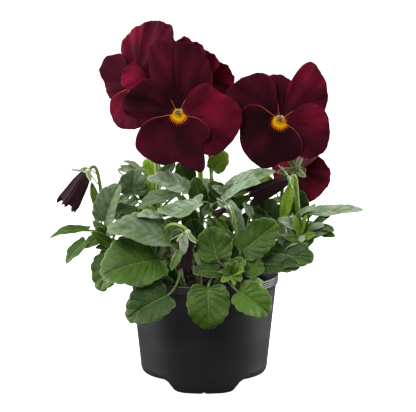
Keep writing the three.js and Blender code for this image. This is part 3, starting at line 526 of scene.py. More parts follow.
def add_turned(piece, profile, at, direction, material, sides):
    """A solid of revolution about a direction, from [radius, height] pairs between two points on it."""
    direction = unit(direction)
    side = unit(np.cross(direction, OBLIQUE))
    other = np.cross(direction, side)
    turn = turns(sides)
    spokes = np.cos(turn)[:, None] * side + np.sin(turn)[:, None] * other
    body = np.asarray(profile[1:-1], float)
    rings = at + body[:, :1, None] * spokes + body[:, 1:, None] * direction
    poles = [at + profile[0][1] * direction, at + profile[-1][1] * direction]
    count = len(body) * sides
    first, last = np.arange(sides), np.arange(count - sides, count)
    faces = grid_faces(len(body), sides, wrap=True)[:, ::-1].tolist()
    faces += [[count, b, a] for a, b in zip(first, np.roll(first, -1))]
    faces += [[count + 1, a, b] for a, b in zip(last, np.roll(last, -1))]
    piece.add(np.concatenate([rings.reshape(-1, 3), poles]), faces, material)


# ---- Leaves ----
WAVE = 0.05
WAVE_PHASES = (2.4, 0.6)  # of a blade's left edge and its right
OUTLINE = {"start": 0.08, "power": 0.86}
LANCE = np.array([0.85, 0.04])  # the fullness of a narrow blade's sides, and its breadth at the tip
ROUND = np.array([0.45, 0.2])
SHAPES = (0.3, 0.75)  # width over length, from a narrow blade to a round one
BASE_LOBE = 0.12
TOOTH_PITCH = 4.8
TOOTH_DEPTH = 1.1
VEIN_PITCH = 4.4
QUILT = 0.5  # how far a blade swells between its side veins
FURROW = 0.45  # along the midrib
EDGE_RIPPLE = 0.3
BLADE_COLUMNS = 12  # from the midrib to one edge
ROWS_PER_TOOTH = 8
RIB_LEAN = 2.8  # how far forward the side veins reach, along the midrib
VEIN_CURVE = 1.35


def leaf_axes(leaf):
    """A leaf's own axes: along its midrib, across it, and out of its upper face."""
    forward = unit(np.subtract(leaf["tip"], leaf["base"]))
    face = np.asarray(leaf["face"], float)
    normal = unit(face - forward * (face @ forward))
    return forward, np.cross(normal, forward), normal


def leaf_length(leaf):
    return float(np.linalg.norm(np.subtract(leaf["tip"], leaf["base"])))


def round_off(half, rounds):
    """Half an outline with its corners rounded, as it meets its other half at the tip."""
    length, width = half[-1, 0], half[:, 1].max()
    for _ in range(rounds):
        line = np.concatenate([half, [half[-2] * (1, -1)]])
        half = np.concatenate([half[:1], (line[:-2] + 2 * line[1:-1] + line[2:]) / 4])
    return half * (length / half[-1, 0], width / half[:, 1].max())


def leaf_edge(leaf, count, teeth):
    """Half a blade's outline from its stalk to its tip: (forward, outward) pairs, toothed."""
    length, width = leaf_length(leaf), leaf["width"]
    roundness = smoothstep(width / length, *SHAPES)
    fullness, tip = LANCE + (ROUND - LANCE) * roundness
    u = np.linspace(0, 1, 90)
    s = (OUTLINE["start"] + (1 - OUTLINE["start"]) * u) ** OUTLINE["power"]
    share = np.maximum(np.clip(np.sin(np.pi * s), 0, 1) ** fullness, tip)
    side = np.stack([length * (u - BASE_LOBE * (1 - u) ** 3), width / 2 * share], 1)
    w = np.linspace(0, 1, 12, endpoint=False)
    foot = np.stack([-BASE_LOBE * length * w**1.5, width / 2 * share[0] * w], 1)
    cap = np.stack([length + 0 * w, width / 2 * share[-1] * (1 - w)], 1)
    line = resample(np.concatenate([foot, side, cap, [[length, 0]]]), 120)
    edge = resample(round_off(line, int(20 + 150 * roundness)), count)
    t = np.linspace(0, 1, count)
    outward = unit(np.stack([-np.gradient(edge[:, 1]), np.gradient(edge[:, 0])], 1))
    depth = TOOTH_DEPTH * min(1, width / 24) * smoothstep(t, 0.12, 0.3)
    notch = 1 - np.abs(np.sin(np.pi * teeth * t)) ** 0.6
    return edge - outward * (depth * notch)[:, None]


def add_blade(piece, leaf):
    forward, side, normal = leaf_axes(leaf)
    length, width = leaf_length(leaf), leaf["width"]
    half_round = 0.8 * math.hypot(length, width)
    teeth = max(3, round(half_round / TOOTH_PITCH))
    rows = teeth * ROWS_PER_TOOTH + 1
    edge = leaf_edge(leaf, rows, teeth)
    t = np.linspace(0, 1, rows)[:, None]
    v = np.linspace(-1, 1, 2 * BLADE_COLUMNS + 1)[None]
    a = np.abs(v)
    midrib = length * t**RIB_LEAN
    x = midrib + (edge[:, :1] - midrib) * a**VEIN_CURVE
    y = edge[:, 1:] * v + PETIOLE_RADIUS * 0.5 * v * (1 - t)
    s = np.clip(x / length, 0, 1)
    phase = np.where(v > 0, WAVE_PHASES[1], WAVE_PHASES[0])
    veins = max(3, round(half_round / VEIN_PITCH))
    rib = veins * t + 0 * v
    small = min(1, width / 26)
    swell = np.abs(np.sin(np.pi * rib)) ** 0.9 * smoothstep(a, 0, 0.35) * (1 - a**3)
    height = leaf["arch"] * length * 4 * s * (1 - s) + np.abs(y) * leaf["fold"]
    height = height + WAVE * width * a**2 * np.sin(3 * np.pi * s + phase)
    quilt = QUILT * (1 - 0.6 * leaf["look"]["silver"])
    height = height + quilt * small * swell - FURROW * small * np.exp(-((y / 0.9) ** 2))
    height = height + EDGE_RIPPLE * small * a**4 * np.sin(np.pi * teeth * t * 2 + 3 * v)
    points = moved(np.asarray(leaf["base"]), (x, forward), (y, side), (height, normal))
    thickness = BLADE_THICKNESS * (1 - 0.6 * a**6) + 0 * t
    to_edge = (1 - a) * np.hypot(edge[:, :1] - midrib, edge[:, 1:])
    add_sheet(piece, points, thickness, LEAF, rib=rib, mid=np.abs(y), edge=to_edge, **leaf["look"])
    ridge = resample(points[:, BLADE_COLUMNS], 24) - (0.3 + 0.25 * small) * normal
    add_tube(piece, ridge, np.linspace(0.7, 0.15, 24) * (0.3 + 0.6 * small), STALK, sides=8,
             **leaf["look"])


def add_leaf(piece, stem, leaf):
    """The blade, and the stalk that carries it from the stem."""
    forward, _, _ = leaf_axes(leaf)
    start = bezier(stem["path"], leaf["at"])
    end = np.asarray(leaf["base"]) - PETIOLE_GAP * forward
    reach = np.linalg.norm(end - start)
    handles = [start, start + 0.3 * reach * UP, end - 0.35 * reach * forward, end + 2 * forward]
    path = bezier(handles, np.linspace(0, 1, 18))
    thin = PETIOLE_RADIUS * min(1, 0.45 + leaf["width"] / 30)
    taper = np.linspace(1.15, 0.85, len(path)) * thin
    add_tube(piece, path, taper, STALK, **leaf["look"])
    add_blade(piece, leaf)


# ---- Flowers ----
PETAL_ROOT = 0.05
PETAL_ROWS = 40
PETAL_COLUMNS = 84
# Shares of a petal's reach that its surface and its rim move by:
RUFFLE = 0.02
FRILL = 0.022
FINE_FRILL = 0.009
SWELL = 0.03
ROLL = 0.03
CRINKLE = 0.006
CORNER = 0.16  # lost at its two corners
CUP = [(0, -1.4), (1.2, -1.1), (2.0, -0.2), (2.3, 0.8), (2.1, 1.9), (1.7, 2.4), (0, 2.4)]
CUP_DEPTH = 2.4
CUP_SEAT = {"stalk": 0.2, "sepals": 0.6}  # how far into the cup they reach
THROAT_BACK = [(0, -4.4), (1.6, -4.3), (2.7, -3.6), (3.1, -2.2), (3.1, -0.6), (0, -0.6)]
THROAT = [(0, -0.5), (3.0, -0.5), (3.1, 1.6), (3.0, 2.5), (2.6, 2.9), (2.1, 2.6), (1.4, 1.8),
          (0.8, 1.4), (0, 1.3)]
KNOB = [(0, 0), (0.7, 0.05), (0.95, 0.5), (1.3, 1.2), (1.25, 1.8), (0.95, 2.3), (0.55, 2.5),
        (0.35, 2.1), (0, 1.9)]
BEARD_HAIRS = ((-1, 12), (1, 26))  # to the left of the throat and to the right
BEARD_ANGLES = (22, 62)  # from the flower's up
BELL = [(0, 0), (0.5, 0.01), (0.74, 0.3), (0.88, 0.65), (1, 0.92), (0.9, 1)]
BELL_INSIDE = [(0.8, 0.95), (0.55, 0.9), (0.25, 0.86)]
BELL_SIDES = 90
FLUTES = {"count": 5, "depth": 0.15, "hem": 0.09}
PLEATS = {"count": 15, "depth": 0.05, "hem": 0.035}


def flower_frame(flower):
    """A flower's middle, the way it faces, its up, and its right as its viewer sees it."""
    face = unit(flower["face"])
    top = np.asarray(flower["up"], float)
    top = unit(top - face * (top @ face))
    return np.asarray(flower["centre"], float), face, top, np.cross(top, face)


def curl_over(forward, height, curl):
    """Bends the outer part of a petal up and back, round a roll of the curl's radius."""
    past = np.maximum(forward - curl["start"], 0)
    turn = np.minimum(past / curl["radius"], curl["turn"])
    rest = past - turn * curl["radius"]
    ring = curl["radius"] + 0 * height
    along = np.minimum(forward, curl["start"]) + ring * np.sin(turn) + rest * np.cos(turn)
    up = ring * (1 - np.cos(turn)) + rest * np.sin(turn)
    return along - height * np.sin(turn), up + height * np.cos(turn)


def petal_grid(flower, petal):
    """A petal's points, from its root outwards and anticlockwise, and what its material reads."""
    centre, face, top, right = flower_frame(flower)
    v = np.linspace(1, -1, PETAL_COLUMNS)[None]
    u = np.linspace(0, 1, PETAL_ROWS)[:, None] ** 0.9
    phase = petal["phase"]
    reach = spline(petal["reach"], v[0])[None]
    reach = reach * (1 - CORNER * np.clip((np.abs(v) - 0.84) / 0.16, 0, 1) ** 2.5)
    crinkle = np.sin(5 * np.pi * v + 5 * phase) + 0.4 * np.sin(13 * np.pi * v + phase)
    reach = reach * (1 + CRINKLE * crinkle)
    span = math.radians(petal["to"] - petal["from"])
    angle = math.radians(petal["from"]) + span * (v + 1) / 2
    r = reach * (PETAL_ROOT + (1 - PETAL_ROOT) * u)
    wave = RUFFLE * np.sin(1.5 * np.pi * v + phase) * u**3
    frill = FRILL * np.sin(3.7 * np.pi * v + 3 * phase + 1.5 * u) * u**3
    frill = frill + FINE_FRILL * np.sin(9 * np.pi * v + phase) * u**7
    swell = SWELL * np.sin(np.pi * u) * np.sin(2.3 * np.pi * v + 2 * phase)
    roll = -ROLL * u**8
    height = petal["layer"] + reach * (petal["lift"] * u**2 + wave + frill + swell * u + roll)
    middle = math.radians(petal["from"] + petal["to"]) / 2
    along, across = r * np.cos(angle - middle), r * np.sin(angle - middle)
    if "curl" in petal:
        along, height = curl_over(along, height, petal["curl"])
    outward = math.cos(middle) * top + math.sin(middle) * right
    sideways = math.cos(middle) * right - math.sin(middle) * top
    points = moved(centre, (along, outward), (across, sideways), (height, face))
    slant = np.gradient(reach[0]) / np.gradient(angle[0]) / reach[0]
    to_edge = (reach - r) / np.sqrt(1 + slant**2)
    to_side = r * span * (1 - np.abs(v)) / 2
    rim = smoothstep(np.abs(v), 0.5, 0.8) * (1 - smoothstep(r, 0.75 * petal["rim"], petal["rim"]))
    fields = {"radius": r, "angle": angle + 0 * r, "edge": np.minimum(to_edge, to_side),
              "rib": u + 0 * v, "eye": petal["eye"], "tone": petal["tone"], "phase": phase,
              "rim": rim, "glow": petal["dusty"]}
    return points, fields


def add_beard(piece, flower, draw):
    """The short pale hairs on the two side petals, beside the flower's throat."""
    centre, face, top, right = flower_frame(flower)
    for side, hairs in BEARD_HAIRS:
        for _ in range(hairs):
            angle = side * math.radians(draw.uniform(*BEARD_ANGLES))
            spoke = math.cos(angle) * top + math.sin(angle) * right
            root = centre + 3.3 * spoke + 2.2 * face
            lean = unit(0.8 * face - draw.uniform(0.1, 0.9) * spoke + draw.normal(0, 0.25, 3))
            hair = root + np.linspace(0, draw.uniform(1.2, 2.2), 4)[:, None] * lean
            add_tube(piece, hair, np.linspace(0.16, 0.05, 4), BEARD, sides=5)


def add_bloom(piece, flower):
    centre, face, _, _ = flower_frame(flower)
    for petal in flower["petals"]:
        points, fields = petal_grid(flower, petal)
        thin = PETAL_THICKNESS * (1 - 0.5 * fields["rib"] ** 6)
        add_sheet(piece, points, thin, PETAL, **fields)
    add_turned(piece, THROAT_BACK, centre, face, STALK, sides=32)
    add_turned(piece, THROAT, centre, face, THROAT_GREEN, sides=32)
    add_beard(piece, flower, np.random.default_rng(len(flower["name"])))


def add_pistil(piece, flower):
    centre, face, _, _ = flower_frame(flower)
    add_turned(piece, KNOB, centre + (HUB["front"] + CLEARANCE) * face, face, PISTIL, sides=28)
    style = centre + np.linspace(1.4, HUB["front"] + 0.5, 5)[:, None] * face
    add_tube(piece, style, 0.7, PISTIL)


def add_bell(piece, bud):
    """The folded petals of a nodding bud: a fluted bell that hangs from its calyx."""
    centre, face, top, right = flower_frame(bud)
    profile = np.concatenate([soften(resample(np.array(BELL), 40), 2)[1:], BELL_INSIDE])
    radius, height = profile[:, :1] * bud["radius"], profile[:, 1:] * bud["length"]
    turn = turns(BELL_SIDES)[None]
    spread = profile[:, :1]
    flute, hem = 1, 1
    for fold in (FLUTES, PLEATS):
        flute = flute + fold["depth"] * spread * np.sin(fold["count"] * turn)
        hem = hem + fold["hem"] * spread**2 * np.sin(fold["count"] * turn + 1)
    out, up = -radius * np.cos(turn) * flute, radius * np.sin(turn) * flute * bud["flat"]
    rings = moved(centre + CLEARANCE * face, (out, right), (up, top), (height * hem, face))
    share = np.repeat(height.ravel() / bud["length"], BELL_SIDES)
    add_rings(piece, rings, BUD, clockwise=True, rib=share, angle=np.tile(turn.ravel(), len(rings)))


def add_sepals(piece, flower, seat):
    _, face, top, right = flower_frame(flower)
    length = SEPAL["length"] * flower.get("sepal_scale", 1)
    droop = SEPAL["back"] * flower.get("sepal_back", 1)
    u, v = np.linspace(0, 1, 16)[:, None], np.linspace(1, -1, 9)[None]
    for k in range(SEPAL["count"]):
        angle = 2 * np.pi * (k + 0.5) / SEPAL["count"]
        out = np.cos(angle) * top + np.sin(angle) * right
        across = np.cross(face, out)
        width = SEPAL["width"] * np.sin(np.pi * (0.12 + 0.88 * u)) ** 0.8
        x, y = 1 + length * u + 0 * v, width * v / 2
        z = -droop * u * (1.6 - 0.6 * u) + 0.5 * np.sin(5 * u + k) * u - 0.18 * np.abs(y)
        points = moved(seat, (x, out), (y, across), (z, face))
        edge = width / 2 * (1 - np.abs(v))
        add_sheet(piece, points, SEPAL["thickness"], SEPAL_GREEN, rib=u + 0 * v, mid=np.abs(y), edge=edge)


def add_stalk_and_calyx(piece, stem, flower):
    centre, face, _, _ = flower_frame(flower)
    behind = HUB["back"] + CLEARANCE if "petals" in flower else 0
    seat = centre - (behind + CUP_DEPTH) * face
    neck = seat + CUP_SEAT["stalk"] * face
    start = bezier(stem["path"], flower["at"])
    path = bezier([start, flower["rise"], neck + flower["hook"], neck], np.linspace(0, 1, 36))
    thick = flower.get("stalk", PEDUNCLE_RADIUS)
    add_tube(piece, path, np.linspace(1.1, 0.9, len(path)) * thick, STALK, sides=12, **flower["look"])
    add_turned(piece, CUP, seat, face, SEPAL_GREEN, sides=24)
    add_sepals(piece, flower, seat + CUP_SEAT["sepals"] * face)


# ---- The plant's plan ----
SKY = (0, -0.45, 0.9)
VIEWER = (0, -0.9, 0.42)
FRONT_UP = (0, -0.7, 0.7)


def look(tone=0.0, silver=0.0, glow=0.0):
    """How light a leaf is, how much painted sky reflection, a silvery sheen, it has, and how much painted
    light shows through it.
    """
    return {"tone": tone, "silver": silver, "glow": glow}


# The silvery looks carry painted sky reflection, a sheen painted on the leaf.
MID, LIGHT, DARK = look(), look(tone=0.7), look(tone=-0.7)
# The backlit looks (glow) carry painted light, as if light shone through the leaf.
SHEENED, HALF_SHEENED, BACKLIT = look(silver=1, tone=0.3), look(silver=0.45), look(glow=1)
HALF_BACKLIT, PALE = look(glow=0.5, tone=0.2), look(silver=0.4, tone=1)


def leaf(at, base, tip, width, face, looks, fold=0.22, arch=0.08):
    """A leaf: where on the stem, 0 to 1, its stalk leaves, and where its blade starts and ends."""
    return {"at": at, "base": base, "tip": tip, "width": width, "face": face, "look": looks,
            "fold": fold, "arch": arch}


# A bloom's petals from the rearmost to the foremost: how each stands, how much it has of the yellow
# eye, and how far out its sides have a pale line.
POSE = ("layer", "lift", "phase", "eye", "rim")
PETAL_POSES = [
    (-0.9, -0.02, 0.4, 0, 0.1), (0.1, 0.02, 1.6, 0, 0.1), (1.1, 0.06, 0.2, 0.75, 12),
    (1.2, 0.06, 2.8, 0.75, 12), (2.2, 0.09, 0.9, 1, 32),
]
LATERAL_CURL = {"start": 7, "radius": 7.5, "turn": 2.5}


def fan(start, end, reach, **extras):
    """A petal that spreads clockwise between two angles from its bloom's up, in degrees. Reach holds
    its length at even steps between them."""
    return {"from": start, "to": end, "reach": reach, **extras}


def stalked(name, at, centre, face, rise, hook, **extras):
    """A bloom or bud: where on its stem, 0 to 1, its stalk leaves, and how the stalk rises and bends."""
    return {"name": name, "at": at, "centre": centre, "face": face, "rise": rise, "hook": hook,
            "up": (0, 0, 1), "look": MID, **extras}


def bloom_of(*place, fans, **extras):
    petals = [{"tone": 0, "dusty": 0, **dict(zip(POSE, pose)), **petal}
              for pose, petal in zip(PETAL_POSES, fans)]
    return stalked(*place, petals=petals, **extras)


def leafy_stem(name, path, flowers, *leaves):
    """A leafy stem, with the four points that its line bends to."""
    return {"name": "leafy_stem_" + name, "path": path, "flowers": flowers, "leaves": leaves}


# A petal's tone is partly painted light and shade: higher on petals that lie in the light, lower on those in
# shade.
BLOOM_FRONT = bloom_of(
    "bloom_front", 0.75, (-17.8, -24, 195.5), (0.02, -0.98, 0.14), (3, -8, 160), (3, 10, 12),
    stalk=1.8, look=BACKLIT, fans=[
        fan(-40, 14, [28, 39, 51.5, 53, 50.5, 49, 46]),
        fan(-4, 66, [48, 49.5, 46.5, 41.5, 35, 29.5, 25], tone=-0.2),
        fan(-100, -28, [27, 38, 39.5, 37, 34.5, 31.5, 27], tone=-0.3),
        fan(26, 154, [17, 29, 31.5, 42, 44.5, 42, 39.5, 31], tone=0.55),
        fan(104, 260, [15, 24, 27, 28, 43.5, 38.5, 34, 37, 38, 38.5, 37, 30, 21], lift=0.13, tone=-0.1),
    ],
)
BLOOM_RIGHT = bloom_of(
    "bloom_right", 0.8, (53, -18, 190), (-0.06, -0.98, 0.12), (44, 6, 140), (-2, 10, 10),
    fans=[
        fan(-26, 30, [30, 31.6, 31.8, 31.2, 29, 27.5, 26], tone=0.1),
        fan(13, 88, [25.5, 45, 44, 41.2, 37.2, 32.8, 27], tone=0.45),
        fan(-80, -8, [35, 42, 41.7, 39.6, 37.3, 34.7, 27]),
        fan(54, 156, [20, 29.8, 33.8, 35.9, 38, 34.6, 27], tone=0.3),
        fan(122, 306, [13, 25, 29, 29.5, 35, 35, 32.8, 29.8, 27, 26.6, 19], tone=-0.6),
    ],
)
BLOOM_LEFT = bloom_of(
    "bloom_left", 0.8, (-47, 5, 211), (-0.55, -0.8, 0.15), (-34, 14, 160), (6, 9, 10),
    stalk=1.6, look=BACKLIT, fans=[
        fan(-42, 22, [26, 34, 38, 41, 44, 46, 40], tone=0.35),
        fan(0, 64, [43, 47, 49, 50, 43, 37, 30], tone=0.1),
        fan(-124, -30, [23.5, 24.8, 27.2, 32, 32.7, 28.7, 24]),
        fan(10, 92, [18, 25, 34, 38, 36, 29, 21], tone=0.5, curl=LATERAL_CURL),
        fan(118, 242, [21, 27, 30, 31.5, 31.5, 28, 21], tone=0.4),
    ],
)
BLOOM_BACK = bloom_of(
    "bloom_back", 0.8, (2, 12, 213), (0.5, 0.6, 0.55), (12, 20, 160), (-7, -7, 4),
    fans=[
        fan(-50, 16, [32, 38.5, 41, 43, 37], tone=0.5),
        fan(-8, 60, [33, 37, 36, 30, 22], tone=0.6),
        fan(-128, -34, [16, 22.5, 28, 27], tone=0.5),
        fan(38, 132, [20, 28, 28, 20], tone=0.5),
        fan(112, 250, [18, 27, 27, 18], tone=0.5),
    ],
)
BLOOM_LOW = bloom_of(
    "bloom_low", 0.7, (69, 6, 150), (0.62, 0.72, -0.25), (50, 2, 130), (-8, -6, 7),
    fans=[
        fan(-50, 16, [20, 26, 27, 26, 21], dusty=1),
        fan(-8, 60, [22, 26, 26, 25, 19], dusty=1),
        fan(-128, -34, [22.5, 25.5, 19.5, 15]),
        fan(38, 132, [20, 28, 28, 19]),
        fan(112, 250, [14, 20, 22.5, 23]),
    ],
)
BUD_LEFT = stalked(
    "bud_left", 0.85, (-82, -7, 150.5), (-0.52, -0.15, -0.84), (-74, -8, 134), (9, 1, 12),
    up=(-0.85, 0, 0.5), length=26, radius=6.2, flat=1.25, sepal_back=-1.1,
)
BUD_CENTRE = stalked(
    "bud_centre", 1, (-11.5, -46.5, 114), (-0.18, -0.15, -1), (-30, -36, 124), (-4, 0, 6),
    up=(0, -1, 0), length=23, radius=6.6, flat=0.6, sepal_scale=0.8, sepal_back=-1.4, look=BACKLIT,
)
BUD_RIGHT = stalked(
    "bud_right", 0.9, (58.5, -17, 147.5), (-0.88, -0.12, -0.42), (63, -14, 132), (6, 1, 8),
    up=(-0.5, 0, 0.8), length=27, radius=5.2, flat=1.25, stalk=1.7, sepal_back=-0.5, look=BACKLIT,
)
BUD_SMALL = stalked(
    "bud_small", 0.9, (15, -42, 131.5), (-0.8, -0.3, -0.45), (20, -39, 112), (4, 2, 3),
    up=(-0.5, 0, 0.8), length=9, radius=3.4, flat=0.8, stalk=1.4, sepal_scale=0.75, sepal_back=-0.4,
    look=BACKLIT,
)

STEMS = [
    leafy_stem(
        "front", [(8, -28, 71), (8, -31, 79), (12, -38, 82), (15, -43, 88)], [],
        leaf(0.7, (3, -56, 79), (3, -63, 50.5), 30, VIEWER, MID, fold=0.12),
        leaf(0.6, (23.8, -54, 75), (45, -57, 60), 25, (0.2, -0.85, 0.45), LIGHT),
        leaf(0.8, (29, -44, 87), (42, -42, 91), 16, FRONT_UP, MID),
        leaf(0.9, (10, -49, 88), (-8, -54, 89), 13, FRONT_UP, DARK),
        leaf(0.95, (19, -46, 88), (28, -46, 97), 11, VIEWER, LIGHT),
        leaf(1, (9, -47, 97), (4, -43, 119), 25, VIEWER, MID, arch=-0.06),
    ),
    leafy_stem(
        "front_right", [(24, -18, 71), (24, -20, 82), (26, -24, 92), (29, -29, 103)], [BUD_SMALL],
        leaf(1, (27.1, -38, 100.9), (50.6, -37, 121.2), 25, VIEWER, MID, arch=-0.06),
        leaf(0.7, (39.7, -28, 92.5), (76.8, -38, 96), 26.5, FRONT_UP, DARK),
        leaf(0.85, (49.6, -22, 96.4), (71.1, -27, 108.7), 17, SKY, SHEENED),
        leaf(1, (25, -34, 115), (18, -37, 137), 9, VIEWER, SHEENED),
        leaf(0.8, (60, -20, 106), (75, -24, 103), 8, SKY, SHEENED),
    ),
    leafy_stem(
        "front_left", [(-14, -22, 71), (-15, -25, 82), (-22, -28, 92), (-27, -30, 106)], [BUD_CENTRE],
        leaf(0.35, (-25, -56, 72.9), (-53.6, -61, 57), 29, (-0.2, -0.85, 0.5), DARK),
        leaf(0.7, (-30.6, -38, 94.5), (-71.5, -47, 84.9), 43, FRONT_UP, MID),
        leaf(0.95, (-19.5, -35, 108.1), (-67.3, -42, 116.8), 29, (0, -0.6, 0.8), HALF_SHEENED),
        leaf(0.85, (-25, -36, 115), (-32, -40, 96), 16, (-0.6, -0.75, 0.2), DARK),
        leaf(1, (-31, -32, 124), (-47, -37, 125), 9.5, SKY, SHEENED),
    ),
    leafy_stem(
        "left", [(-26, -4, 71), (-32, -5, 95), (-56, -9, 98), (-76, -12, 109)], [BUD_LEFT],
        leaf(0.9, (-69, -13, 117), (-59, -18, 145), 20, (-0.5, -0.8, 0.2), HALF_SHEENED, fold=0.5),
        leaf(1, (-81, -13, 111), (-108.5, -19, 106), 9.5, SKY, MID, arch=0.12),
        leaf(0.98, (-82.6, -19, 104.4), (-96.4, -25, 89.2), 11, SKY, MID),
        leaf(0.92, (-72, -18, 107), (-84, -23, 100), 9, FRONT_UP, MID),
        leaf(0.6, (-48, -14, 124), (-64, -21, 126), 13, SKY, DARK),
        leaf(0.5, (-56, -18, 98), (-73, -31, 71), 28, (-0.4, -0.8, 0.4), MID),
    ),
    leafy_stem(
        "centre", [(-3, -8, 71), (-4, -9, 85), (-2, -10, 105), (-2, -10, 124)], [BLOOM_FRONT],
        leaf(0.9, (-3, -20, 129), (-6, -25, 151), 14, VIEWER, DARK),
        leaf(0.8, (-2, -37, 135), (-33, -34, 129), 19, SKY, SHEENED, arch=-0.14),
        leaf(0.95, (-11, -18, 141), (-40, -27, 150), 16, FRONT_UP, SHEENED),
        leaf(0.95, (15.3, -18, 139), (50, -28, 155.6), 14, FRONT_UP, SHEENED, arch=0.1),
        leaf(0.9, (14, -25, 135), (40, -35, 149), 12, SKY, SHEENED),
        leaf(1, (-12, 2, 143), (-17, -2, 158), 16, VIEWER, MID),
        leaf(0.5, (-5, -26, 104), (-9, -29, 122), 16, VIEWER, DARK),
        leaf(0.6, (7, -23, 107), (12, -26, 124), 14, VIEWER, DARK),
        leaf(0.95, (14, -14, 136), (3, -16, 145), 11, VIEWER, MID),
    ),
    leafy_stem(
        "right", [(34, -2, 71), (38, -4, 92), (56, -7, 104), (73, -10, 116)], [BUD_RIGHT, BLOOM_LOW],
        leaf(1, (76.3, -10, 122.7), (111.9, -13, 125.7), 13, SKY, SHEENED, arch=0.01),
        leaf(0.9, (65, -15, 121), (79, -21, 128), 9, SKY, SHEENED),
        leaf(0.95, (69.2, -16, 108.1), (84.4, -22, 116.3), 9.5, SKY, SHEENED),
        leaf(1, (79, -18, 114), (91, -23, 112), 8, SKY, DARK),
        leaf(0.8, (64.7, 3, 119), (67.4, 1, 137.2), 17, VIEWER, DARK),
        leaf(0.6, (51, -5, 116), (31, -8, 128), 23, VIEWER, DARK),
        leaf(0.85, (56, -19, 123), (62, -22, 150), 8, VIEWER, BACKLIT, fold=0.4),
    ),
    leafy_stem(
        "back_left", [(-16, 12, 71), (-18, 12, 90), (-28, 10, 108), (-36, 8, 124)], [BLOOM_LEFT],
        leaf(1, (-50, -4, 136), (-49, -8, 154), 21, VIEWER, HALF_SHEENED),
        leaf(1, (-43, 4, 150), (-58, 1, 158), 6, SKY, SHEENED),
        leaf(0.85, (-19, -12, 137), (-47, -19, 127), 14, SKY, HALF_SHEENED),
        leaf(0.85, (-32, 17, 133), (-48, 20, 138), 16, VIEWER, BACKLIT),
        leaf(0.9, (-34, 19, 142), (-41, 23, 156), 14, VIEWER, BACKLIT),
        leaf(0.7, (-46, 8, 116), (-72, 14, 119), 22, SKY, MID),
        leaf(0.6, (-44, 22, 104), (-73, 34, 98), 26, (-0.3, 0.2, 0.9), MID),
        leaf(0.4, (-38, 40, 86), (-58, 57, 72), 28, (-0.4, 0.5, 0.75), MID),
    ),
    leafy_stem(
        "back_right", [(16, 14, 71), (17, 14, 90), (20, 13, 108), (22, 12, 126)], [BLOOM_RIGHT],
        leaf(0.9, (6.3, 15, 149.1), (15.5, 19, 162), 14, (0, -0.95, 0.2), BACKLIT),
        leaf(1, (34.4, 3, 135.4), (44.9, 1, 148.6), 13, VIEWER, BACKLIT),
        leaf(0.7, (38, 24, 118), (62, 34, 124), 17, (0.2, 0.1, 0.95), MID),
        leaf(0.6, (44, 8, 106), (70, 14, 108), 22, SKY, MID),
        leaf(0.5, (44, 26, 98), (74, 38, 92), 24, (0.3, 0.2, 0.9), DARK),
        leaf(0.3, (42, 40, 84), (60, 55, 68), 28, (0.4, 0.5, 0.75), MID),
    ),
    leafy_stem(
        "back", [(0, 26, 71), (0, 28, 85), (2, 32, 100), (4, 34, 114)], [BLOOM_BACK],
        leaf(1, (2, 44, 122), (-6, 62, 136), 17, (-0.2, 0.2, 0.95), HALF_SHEENED),
        leaf(0.9, (14, 44, 116), (34, 58, 120), 20, (0.2, 0.2, 0.95), MID),
        leaf(0.8, (-10, 44, 108), (-32, 58, 108), 22, (-0.2, 0.3, 0.9), MID),
        leaf(0.6, (8, 50, 96), (18, 69, 84), 24, (0.1, 0.5, 0.85), MID),
        leaf(0.5, (-12, 50, 90), (-22, 69, 72), 24, (-0.1, 0.6, 0.75), DARK),
        leaf(0.4, (16, 56, 80), (30, 65, 56), 27, (0.3, 0.8, 0.4), MID),
    ),
]

